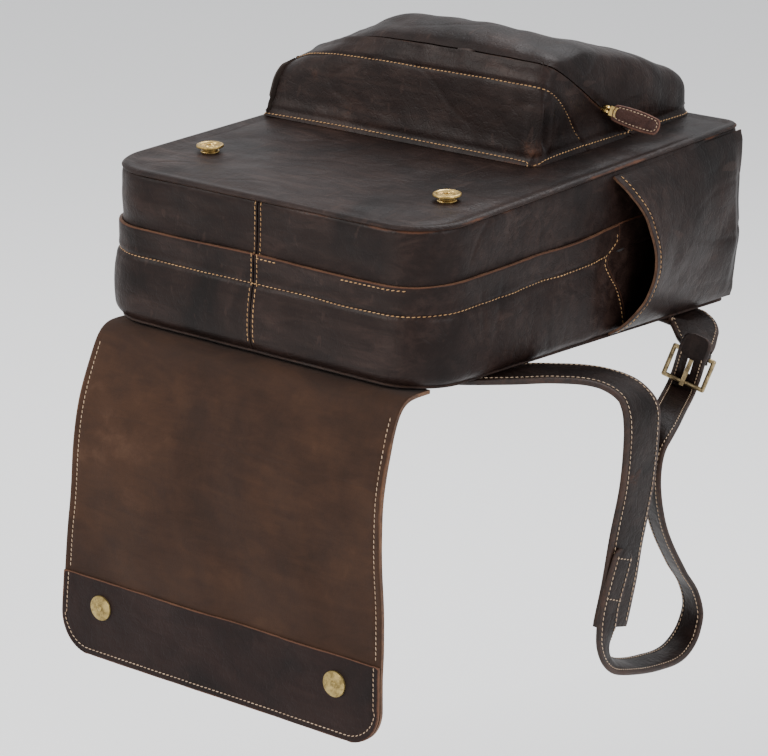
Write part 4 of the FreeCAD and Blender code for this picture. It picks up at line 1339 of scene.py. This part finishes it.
def flapAt(u, v):
    # u: -1 left edge to 1 right edge; v: millimetres down the flap from its root under the bag
    y = np.interp(v, flapRun, flapRoute[:, 0])
    z = np.interp(v, flapRun, flapRoute[:, 1])
    half = flapHalf(v) - cornerLoss(v)
    x = u * half
    hang = smooth(v, 34, 80)
    spot = np.stack([x, v, 0 * v], axis=-1)
    out = swell(spot, 130, 121) * 1.3 * hang + swell(spot, 48, 122) * 0.35 * hang
    out = out * (1 - 0.8 * smooth(v, flapLength - 66, flapLength - 40))
    edge = half * (1 - np.abs(u))
    # edges curl slightly outwards, more at the upper left
    out = out + 1.3 * np.exp(-edge / 9) * hang * smooth(-v, -flapLength + 50, -60)
    out = out + flap["twist"] * (-u) * smooth(v, 60, 190)
    # over the edge of its seat the flap bellies
    out = out + 1.2 * np.cos(u * 2.6) * bump(v, 62, 26)
    out = out - 0.35 * bump(edge, flap["hem"], 1.3) * smooth(v, 30, 40)
    return np.stack([x, y - out, z + 0 * x], axis=-1)


def flapWearAndDarkening(u, v):
    edge = flap["wearHalf"] * (1 - np.abs(u))
    worn = 0.8 * bump(edge, 0, 1.6) + 0.10 * bump(edge, 7, 5)
    worn = np.maximum(worn, 0.9 * bump(v, flapLength, 2.5))
    # the flap is darker in a patch about 36 mm down, at the bend under the bag, and darker again from 66 mm
    # down to its end
    dark = 0.4 * bump(v, 36, 22) + 0.5 * smooth(v, 66, 200)
    return worn - dark


half = np.concatenate([np.linspace(0, 0.9, 46)[:-1], np.linspace(0.9, 1, 14)])
across = np.concatenate([-half[::-1], half[1:]])
lengths = {"upper": np.concatenate([np.linspace(0, 18, 8)[:-1], np.linspace(18, 56, 34)[:-1],
                                    np.linspace(56, splitRun, 22)]),
           "lower": np.concatenate([np.linspace(splitRun, flapLength - 30, 72)[:-1],
                                    np.linspace(flapLength - 30, flapLength - 4, 18)[:-1],
                                    flapLength - 4 * np.cos(np.linspace(0, math.pi / 2, 10))])}
for name, down in lengths.items():
    u, v = np.meshgrid(across, down, indexing="ij")
    p = flapAt(u, v)
    # the suede inner face is the outer side of this sheet while the flap hangs open
    piece = leatherSheet("flap_" + name + "_skin", p, flap["thick"], [suede, bandLeather, tanEdge],
                         wear=flapWearAndDarkening(u, v), flip=True, bevel=flap["bevel"],
                         steady=27 if name == "lower" else 0)
    if name == "upper":
        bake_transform(piece)
        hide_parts("flap_root", "flap_upper_outer", "flap_upper_lining")
    else:
        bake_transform(piece)
        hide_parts("flap_lower_outer", "flap_lower_lining")


def flapBandAt(u, v):
    # v: 0 at the band's upper edge to 1 at the flap's lower edge
    down = bandRun + bandLength * v
    base = flapAt(u * flap["bandShare"], down)
    spot = np.stack([base[..., 0], down, 0 * down], axis=-1)
    lift = flap["bandThick"] + 0.12 * swell(spot, 26, 131)
    # a shallow ring pressed round each snap
    for sx in snapSides:
        far = np.hypot(base[..., 0] - sx, base[..., 2] - snaps["flapZ"])
        lift = lift - 0.3 * bump(far, 10.5, 2.5)
    return base + np.stack([0 * lift, -lift, 0 * lift], axis=-1)


down = np.concatenate([np.linspace(0, 0.14, 12)[:-1], np.linspace(0.14, 0.5, 20)[:-1],
                       np.linspace(0.5, 0.93, 26)[:-1], 1 - 0.07 * np.cos(np.linspace(0, math.pi / 2, 12))])
u, v = np.meshgrid(across, down, indexing="ij")
p = flapBandAt(u, v)
edge = flap["wearHalf"] * (1 - np.abs(u))
worn = 1.0 * bump(v, 0, 0.012) + 0.7 * bump(edge, 0, 1.6) + 0.8 * bump(v, 1, 0.02)
band = leatherSheet("flap_band_skin", p, flap["bandThick"] - 0.15, [bandLeather, insideLeather, tanEdge],
                    wear=worn, flip=True, bevel=flap["bevel"], steady=38)
place(band, "flap_lower", "body_leather", "flap_band")


def flapEdgeLines(low, high):
    # both side edges, just in from the edge
    down = np.linspace(low, high, 120)
    share = 1 - flap["hem"] / flapHalf(down)
    return [seamOn(flapAt, side * share, down, flip=True, lift=0.05) for side in (-1, 1)]


def bandEdgeLine():
    # left side down, round both corners, and up the right side, just in from the edge
    hem, r = flap["hem"], flap["corner"]
    cornerX, cornerRun = flap["widths"][-1] / 2 - r, flapLength - r
    angle = np.linspace(0, math.pi / 2, 24)[1:]
    sideRun = np.linspace(bandRun + 2, cornerRun, 30)
    x = np.concatenate([flapHalf(sideRun) - hem, cornerX + (r - hem) * np.cos(angle),
                        np.linspace(cornerX, 0, 60)[1:]])
    down = np.concatenate([sideRun, cornerRun + (r - hem) * np.sin(angle), np.full(59, flapLength - hem)])
    x = np.concatenate([-x, x[::-1][1:]])
    down = np.concatenate([down, down[::-1][1:]])
    room = (flapHalf(down) - cornerLoss(down)) * flap["bandShare"]
    return seamOn(flapBandAt, x / room, (down - bandRun) / bandLength, flip=True, lift=0.05)


flapThread = {"height": 0.5, "width": 0.7}
upperLines = flapEdgeLines(40, splitRun - flap["seamGap"])
upper = sew("seams_flap_upper", upperLines, paleThread, flapThread)
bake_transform(upper)
lowerLines = flapEdgeLines(splitRun + flap["seamGap"], flapLength - 60)
lower = sew("seams_flap_lower", lowerLines, paleThread, flapThread)
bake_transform(lower)
place(sew("seams_flap_band", [bandEdgeLine()], paleThread, flapThread), "flap_lower", "body_leather")
print("flap shaped")


# Straps: every station is a place, the way across the strap, and the width there
wideStrap = {"width": 38, "thick": 4.0, "stitchIn": 4.2, "rows": 220}
wideRoute = [
    (45, -132, 3, 0, 1, 0), (58, -132, 3, 0, 1, 0), (66, -131, 3, -0.06, 1, 0), (82, -126, 3, -0.15, 0.99, 0),
    (110, -113, 3, -0.5, 0.87, 0), (135, -88, 3, -0.7, 0.71, 0), (155, -63, 3, -0.65, 0.76, 0),
    (178, -43, 1, -0.4, 0.92, 0), (194, -34, -6, -0.2, 0.98, 0), (203, -31, -18, 0, 1, 0),
    (205, -31, -36, 0, 1, 0), (205, -33, -68, 0, 1, 0), (205, -41, -100, 0, 1, 0), (205, -47, -130, 0, 1, 0),
    (204.6, -53, -154, 0, 1, 0),
]
wideStations = [row + (wideStrap["width"],) for row in wideRoute] + [(204.5, -54, -158, 0, 1, 0, 37)]
buckle = {
    "place": (160.0, 91.0, -23.0), "across": (0.905, 0.302, -0.302), "down": (-0.25, -0.2, -0.95),
    "halfDown": 10.4,
}
buckleAcross = unit(np.array(buckle["across"]))
buckleDown = np.array(buckle["down"])
buckleDown = unit(buckleDown - buckleAcross * (buckleDown @ buckleAcross))
buckleOut = -np.cross(buckleAcross, buckleDown)


def atBuckle(u, v, n):
    # a point of the buckle's own frame: across, down the strap, towards the front
    return tuple(np.array(buckle["place"]) + buckleAcross * u + buckleDown * v + buckleOut * n)


narrowStrap = {
    "width": 21, "thick": 3.3, "stitchIn": 3.0, "rows": 300,
    # the sewn end on the wide strap, the loop that hangs, the way up, and the turn through the buckle
    "sewnEnd": [(209, -49, -106, 0, 1, 0, 12), (209, -50, -108.5, 0, 1, 0, 18)],
    "down": [(209, -51, -112, 0, 1, 0), (209, -62, -140, 0, 1, 0), (209.5, -65, -152, 0, 1, 0),
             (209.5, -66, -161, -0.12, 0.99, 0.02), (206.5, -59, -175, -0.5, 0.86, 0.05),
             (202, -44, -187, -0.8, 0.6, 0.09)],
    "loopFace": (-0.946, 0.3, 0.109),
    "loop": [(199, -22, -196), (196, 9, -203), (193, 41, -206), (190, 62, -199), (188.5, 71, -184),
             (187, 66, -167), (186, 50, -148)],
    "up": [(185, 26, -113, -0.93, 0.35, 0.1), (184, 16, -80, -0.92, 0.35, 0.15),
           (181, 22, -58, -0.9, 0.3, 0.25)],
    "reach": (175, 44, -44),
    "through": [(0, 17, -4.2, 21), (0, 9, -3.9, 21), (0, 0, 0.8, 21), (0, -9, 6.6, 21), (0, -18, 7.4, 21),
                (0, -23, 7.3, 18), (0, -25, 7.2, 10)],
}
narrowWidth = (narrowStrap["width"],)
back = tuple(-buckleAcross)
narrowStations = (
    narrowStrap["sewnEnd"] + [row + narrowWidth for row in narrowStrap["down"]]
    + [spot + narrowStrap["loopFace"] + narrowWidth for spot in narrowStrap["loop"]]
    + [row + narrowWidth for row in narrowStrap["up"]] + [narrowStrap["reach"] + back + narrowWidth]
    + [atBuckle(*row[:3]) + back + row[3:] for row in narrowStrap["through"]])


mirrored = np.array([-1.0, 1, 1])


def strapFrames(stations, count):
    # along the strap: its middle, the way across it, the way out of its face, its width
    route = routeThrough(stations, count)
    c = route[:, :3]
    along = unit(np.gradient(c, axis=0))
    side = route[:, 3:6]
    side = unit(side - along * np.sum(side * along, axis=1, keepdims=True))
    return c, side, np.cross(along, side), route[:, 6]


strapCut = {
    "faceColumns": 13, "edgeColumns": 5, "crown": 0.25, "ripple": 0.12, "groove": 0.3, "grooveIn": 3.6,
}


def strapSection(half, lip):
    # one cross-section: crowned face, rounded edge, flat back, rounded edge
    crown = strapCut["crown"]
    across = np.linspace(-1, 1, strapCut["faceColumns"] + 2)[1:-1]
    edge = [(0, half - crown), (lip * 0.7, half - lip * 0.75), (lip, 0), (lip * 0.7, -half + lip * 0.75),
            (0, -half + crown)]
    return ([(k, half + crown * (1 - k * k), 0.0) for k in across]
            + [(1, h, reach - lip) for reach, h in edge]
            + [(k, -half, 0.0) for k in across[::-1]]
            + [(-1, h, lip - reach) for reach, h in edge[::-1]])


def strapPiece(name, stations, thick, count, mirror=False, seed=1, lip=0.9):
    c, side, out, width = strapFrames(stations, count)
    section = strapSection(thick / 2, lip)
    m = len(section)
    rows, wear = [], []
    for k, h, shift in section:
        onFace = abs(k) < 1
        reach = k * (width / 2 - lip) if onFace else k * width / 2 + shift
        spot = c + side * reach[:, None]
        lift = h + (strapCut["ripple"] * swell(spot, 26, seed) if h > 0 else np.zeros(count))
        if onFace and h > 0:
            # the stitches lie in a shallow groove
            lift = lift - strapCut["groove"] * bump(abs(reach) - width / 2, -strapCut["grooveIn"], 0.9)
        rows.append(spot + out * lift[:, None])
        rubbed = 0.55 if not onFace and abs(h) > 0.3 else 0.0
        wear.append(rubbed + 0.2 * np.maximum(swell(spot, 45, seed + 1), 0))
    grid = np.stack(rows, axis=1)
    if mirror:
        grid = grid * mirrored
    index = np.arange(count * m).reshape(count, m)
    lastFace, edgeEnd = strapCut["faceColumns"] - 1, strapCut["faceColumns"] + strapCut["edgeColumns"]
    firstEdge = range(lastFace, edgeEnd)
    secondEdge = range(lastFace + edgeEnd, m)
    faces, slotOf = [], []
    for i in range(count - 1):
        for j in range(m):
            k = (j + 1) % m
            face = (int(index[i, j]), int(index[i + 1, j]), int(index[i + 1, k]), int(index[i, k]))
            faces.append(face[::-1] if mirror else face)
            slotOf.append(2 if j in firstEdge or j in secondEdge else (0 if j < lastFace else 1))
    for row, turn in ((0, 0), (count - 1, 1)):
        ring = [int(i) for i in index[row]]
        faces.append(tuple(ring[::-1] if turn else ring))
        slotOf.append(2)
    piece = meshPiece(name, grid.reshape(-1, 3), faces, [strapLeather, strapLeather, darkEdge], slotOf,
                      wear=np.stack(wear, axis=1).ravel(), sharp=55)
    faceOutwards(piece, cutEnds=True)
    return piece


def strapSeam(stations, values, count, start, end, face, mirror, endLines=()):
    # a row of stitches along each edge, and rows across at the shares in endLines
    c, side, out, width = strapFrames(stations, count)
    thick, inset = values["thick"], values["stitchIn"]
    lines = []
    pick = slice(int(start * count), int(end * count))
    for s in (-1, 1):
        reach = s * (width / 2 - inset)
        points = (c + side * reach[:, None] + out * face * (thick / 2 + 0.12))[pick]
        lines.append((points, (out * face)[pick]))
    for at in endLines:
        i = int(at * (count - 1))
        k = np.linspace(-1, 1, 12)[:, None]
        points = c[i] + side[i] * k * (width[i] / 2 - inset) + out[i] * face * (thick / 2 + 0.2)
        lines.append((points, np.repeat((out[i] * face)[None], 12, axis=0)))
    if mirror:
        lines = [(p * mirrored, n * mirrored) for p, n in lines]
    return lines


def cutWith(piece, cutter):
    tool = piece.modifiers.new("cut", "BOOLEAN")
    tool.object = cutter
    tool.solver = "EXACT"
    done = plainMesh(piece, piece.name + "Cut")
    piece.modifiers.clear()
    piece.data = done
    bpy.data.objects.remove(cutter)


def boxAtBuckle(low, high, mirror):
    # the room that the buckle's bar and prong need
    verts = np.array([atBuckle(u, v, n) for u in (low[0], high[0]) for v in (low[1], high[1])
                      for n in (low[2], high[2])])
    if mirror:
        verts = verts * mirrored
    faces = [(0, 1, 3, 2), (4, 6, 7, 5), (0, 4, 5, 1), (2, 3, 7, 6), (0, 2, 6, 4), (1, 5, 7, 3)]
    piece = meshPiece("cutter", verts, faces, [darkEdge])
    faceOutwards(piece)
    return piece


buckleTab = {
    "width": 22, "thick": 3.2, "stitchIn": 3.2, "rows": 60,
    "route": [(121, 119, 4.0, 0, 1, 0, 44), (132, 118, 3.9, 0, 1, 0, 44), (139, 117, 3.2, 0, 1, 0, 44),
              (144.5, 116, 1.6, 0, 1, 0, 42), (150, 111, -2, 0.25, 0.97, 0, 36),
              (157, 103, -7.5, 0.62, 0.75, -0.15, 28)],
}
buckleLoop = {"thick": 2.2, "round": 3.3, "lip": 0.5, "rows": 40}
tabFace = tuple(buckleAcross) + (buckleTab["width"],)
tabStations = buckleTab["route"] + [atBuckle(0, -buckle["halfDown"] - 3.6, -0.4) + tabFace]
# the tab's leather wraps the buckle's bar
loopStations = [atBuckle(0, -buckle["halfDown"] - buckleLoop["round"] * math.cos(a),
                         buckleLoop["round"] * math.sin(a)) + tabFace
                for a in np.radians(np.linspace(190, -100, 14))]
prongSlots = {"strap": ((-2.3, -12.0, -8), (2.3, 4.5, 8)), "loop": ((-2.4, -18, -8), (2.4, 4, 8))}
for name, mirror in (("right", False), ("left", True)):
    s = -1 if mirror else 1
    body = "strap_" + name
    piece = strapPiece("strap_wide_skin_" + name, wideStations, wideStrap["thick"], wideStrap["rows"], mirror,
                       seed=141)
    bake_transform(piece)
    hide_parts("strap_wide_" + name, "strap_root_" + name)
    lines = []
    for face in (-1, 1):
        lines += strapSeam(wideStations, wideStrap, 320, 0.02, 0.985, face, mirror)
    seams = sew("seams_strap_wide_" + name, lines, paleThread)
    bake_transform(seams)
    piece = strapPiece("strap_narrow_skin_" + name, narrowStations, narrowStrap["thick"], narrowStrap["rows"],
                       mirror, seed=151)
    cutWith(piece, boxAtBuckle(*prongSlots["strap"], mirror))
    place(piece, body, "strap_leather", "strap_narrow_" + name)
    lines = []
    for face in (-1, 1):
        lines += strapSeam(narrowStations, narrowStrap, 420, 0.012, 0.97, face, mirror)
    # two rows across hold the narrow strap on the wide one
    lines += strapSeam(narrowStations, narrowStrap, 420, 0.5, 0.5, 1, mirror, (0.012, 0.068))
    lines = [line for line in lines if len(line[0]) > 2]
    place(sew("seams_strap_narrow_" + name, lines, paleThread), body, "strap_leather")
    piece = strapPiece("buckle_tab_skin_" + name, tabStations, buckleTab["thick"], buckleTab["rows"], mirror,
                       seed=161)
    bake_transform(piece)
    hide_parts("buckle_tab_" + name, "buckle_tab_stub_" + name)
    lines = strapSeam(tabStations, buckleTab, 90, 0.05, 0.93, -1, mirror)
    lines += strapSeam(tabStations, buckleTab, 90, 0.05, 0.93, 1, mirror)
    seams = sew("seams_buckle_tab_" + name, lines, paleThread)
    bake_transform(seams)
    piece = strapPiece("buckle_loop_" + name, loopStations, buckleLoop["thick"], buckleLoop["rows"], mirror,
                       seed=171, lip=buckleLoop["lip"])
    cutWith(piece, boxAtBuckle(*prongSlots["loop"], mirror))
    place(piece, body, "strap_leather")
print("straps shaped")


# Anchor patch under the strap roots
patch = {"x": 66.0, "near": -151.0, "far": -113.0, "corner": 8.0, "thick": 0.7, "topZ": 0.95, "rise": 0.75,
         "stitchIn": 4.0, "stitchZ": 0.2}


def patchRings(x, y0, y1, r, insets, around=200):
    # rounded boxes one inside the other, the same number of points in each
    rings = []
    for d in insets:
        a, b, k = x - d, (y1 - y0) / 2 - d, max(r - d, 0.01)
        t = np.linspace(0, 2 * math.pi, around + 1)[:-1] + 0.001
        cx, cy = np.cos(t), np.sin(t)
        px = np.clip(cx * 1.6, -1, 1) * (a - k) + cx * k
        py = np.clip(cy * 1.6, -1, 1) * (b - k) + cy * k
        rings.append(np.stack([px, (y0 + y1) / 2 + py], axis=1))
    rings = np.stack(rings, axis=1)
    return np.concatenate([rings, rings[:1]])


insets = np.array([0, 0.2, 0.6, 1.2, 2, 3.5, 6, 10, 15, 18.4])
patchPlan = (patch["x"], patch["near"], patch["far"], patch["corner"])
rings = patchRings(*patchPlan, insets)
depth = np.broadcast_to(insets, rings.shape[:2])
z = patch["topZ"] - patch["rise"] * domed(depth, 1.2)
p = np.stack([rings[..., 0], rings[..., 1], z], axis=-1)
piece = leatherSheet("strap_anchor_skin", p, patch["thick"], coverLeather, wear=0.5 * bump(depth, 0, 1.5),
                     closed=True, flip=True)
place(piece, "bag", "body_leather", "strap_anchor_patch")
line = patchRings(*patchPlan, [patch["stitchIn"]])[:, 0]
points = np.stack([line[:, 0], line[:, 1], np.full(len(line), patch["stitchZ"])], axis=-1)
bagSeams.append((points, np.tile([0, 0, -1.0], (len(line), 1))))
print("anchor patch shaped")


# Leather pull of the front pocket's zip
pull = {
    "y": 64.0, "stand": 3.5, "tilt": -30.0, "start": 3.5, "end": 37.5, "width": 14.0, "thick": 2.5,
    "corner": 6.2, "skin": 1.1, "stitchIn": 2.3, "around": 120,
    "thread": {"pitch": 2.5, "length": 1.9, "width": 0.6, "height": 0.5},
}
pullRun = unit(np.array([0, -1, -pocketShape["cutSlope"]]))
pullDepth = np.array([-1.0, 0, 0])
pullAcross = np.cross(pullRun, pullDepth)
pinZ = pocketShape["cutZ"] + pocketShape["cutSlope"] * pull["y"]
pullPin = np.array([pocketShape["right"], pull["y"], pinZ]) - pullDepth * pull["stand"]


def atPull(a, b, c):
    # a out along the tab, b across it, c through its thickness
    k = math.radians(pull["tilt"])
    local = np.stack([c * math.cos(k) + a * math.sin(k), c * math.sin(k) - a * math.cos(k)], axis=-1)
    return (pullPin + local[..., :1] * pullRun + local[..., 1:2] * pullDepth
            + np.asarray(b)[..., None] * pullAcross)


insets = np.array([0, 0.15, 0.45, 0.9, 1.5, 2.2, 3.0, 4.0, 5.0, 6.0, 6.6])
middle = (pull["end"] + pull["start"]) / 2
pullPlan = ((pull["end"] - pull["start"]) / 2, -pull["width"] / 2, pull["width"] / 2, pull["corner"])
rings = patchRings(*pullPlan, insets, pull["around"])
depth = np.broadcast_to(insets, rings.shape[:2])
# rounded rim, a groove for the stitches, and a fuller middle
lift = pull["thick"] / 2 * domed(depth, 1.1, 0.15) - 0.25 * bump(depth, pull["stitchIn"], 0.6)
lift = lift + 0.25 * smooth(depth, 2.6, 4)
for face, name in ((1, "front"), (-1, "rear")):
    p = atPull(middle + rings[..., 0], rings[..., 1], face * lift)
    piece = leatherSheet("pull_tab_" + name, p, pull["skin"], [pullLeather, pullLeather, darkEdge],
                         wear=0.7 * bump(depth, 0.4, 0.9), closed=True, flip=face > 0, bevel=0)
    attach(piece, "pocket_pull")
    if face > 0:
        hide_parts("pocket_zip_tab")
lines = []
ring = patchRings(*pullPlan, [pull["stitchIn"]], pull["around"])[:, 0]
for face in (1, -1):
    points = atPull(middle + ring[:, 0], ring[:, 1], np.full(len(ring), face * (pull["thick"] / 2 - 0.1)))
    up = unit(atPull(middle + ring[:, 0], ring[:, 1], np.full(len(ring), face * 3.0)) - points)
    lines.append((points, up))
place(sew("seams_pull_tab", lines, paleThread, pull["thread"]), "pocket_pull", "tan_leather")
print("pull tab shaped")


# Snaps, turned on a lathe: each row of a profile is a radius and a height
def turned(name, profile, spots, body, slotName, nodes, material, segments=56):
    # spots: centre and axis of each one
    verts, faces = [], []
    rows = len(profile)
    for centre, axis in spots:
        axis = unit(np.array(axis, float))
        first = unit(np.cross(axis, (1.0, 0, 0)))
        second = np.cross(axis, first)
        start = len(verts)
        for r, h in profile:
            for k in range(segments):
                a = 2 * math.pi * k / segments
                reach = (first * math.cos(a) + second * math.sin(a)) * max(r, 0.02)
                verts.append(np.array(centre) + axis * h + reach)
        for i in range(rows - 1):
            for k in range(segments):
                j = (k + 1) % segments
                a, b = start + i * segments, start + (i + 1) * segments
                faces.append((a + k, a + j, b + j, b + k))
        faces.append(tuple(start + k for k in range(segments))[::-1])
        faces.append(tuple(start + (rows - 1) * segments + k for k in range(segments)))
    piece = meshPiece(name, verts, faces, [material], sharp=28)
    faceOutwards(piece)
    return place(piece, body, slotName, *nodes)


snapTurn = [(6.4, 0.0), (6.4, 0.5), (6.1, 0.9), (5.2, 1.1), (5.0, 1.4), (5.0, 2.2), (5.3, 2.6), (7.2, 2.9),
            (8.6, 3.2), (9.2, 3.7), (9.2, 4.4), (8.9, 5.0), (8.2, 5.3), (7.5, 5.25), (6.9, 4.9), (6.5, 4.4),
            (6.2, 4.1), (4.0, 4.1), (3.6, 4.2), (3.3, 4.6), (2.9, 4.9), (2.4, 4.9), (2.1, 4.5), (2.0, 3.6),
            (0.0, 3.4)]
capTurn = [(8.7, -0.8), (8.7, 0.6), (8.5, 1.0), (8.0, 1.15), (5.5, 1.45), (3.2, 1.55), (2.5, 1.3),
           (2.1, 1.35), (1.8, 1.9), (1.2, 2.2), (0.0, 2.3)]
snapZ = frontZ(snaps["y"]) + 0.05
spots = [((x, snaps["y"], snapZ), (0, -bag["frontSlope"], 1)) for x in snapSides]
turned("front_snaps_turned", snapTurn, spots, "bag", "antique_brass", ("front_snaps",), brass)
# the flap's halves sit on the nearest point of the band's own surface
u, v = np.meshgrid(np.linspace(-0.9, 0.9, 181), np.linspace(0.1, 0.9, 81), indexing="ij")
near = flapBandAt(u, v)
spots = []
for x in snapSides:
    nearest = np.argmin(np.hypot(near[..., 0] - x, near[..., 2] - snaps["flapZ"]))
    seat = near.reshape(-1, 3)[nearest]
    way = -gridNormals(near).reshape(-1, 3)[nearest]
    spots.append(((x, seat[1], snaps["flapZ"]), way if way[1] < 0 else -way))
turned("flap_snaps_turned", capTurn, spots, "flap_lower", "antique_brass", ("flap_snaps",), flapBrass)
print("snaps turned")


# The model's own hard pieces keep their shape and get their finish
dressing = [
    (brass, ("main_zip_stops", "main_zip_slider", "main_zip_pull", "front_snap_washers", "pocket_zip_slider",
             "pocket_zip_clip")),
    (buckleBrass, ("buckle_frame_right", "buckle_frame_left", "buckle_prong_right", "buckle_prong_left")),
    (tapeCloth, ("main_zip_tape_back", "main_zip_tape_front", "pocket_zip_tape_lower",
                 "pocket_zip_tape_upper")),
    (coilNylon, ("main_zip_coil_back", "main_zip_coil_front", "pocket_zip_coil_lower",
                 "pocket_zip_coil_upper")),
    (liningCloth, ("lining_back", "lining_front", "pocket_lining")),
    (paleFoam, ("back_foam",)),
    (fibreBoard, ("bottom_stiffener",)),
]
for material, names in dressing:
    for name in names:
        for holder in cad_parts[name].material_slots:
            holder.material = material
place(sew("seams_bag", bagSeams, tanThread), "bag", "body_leather")
print("stitches laid, hard pieces finished")
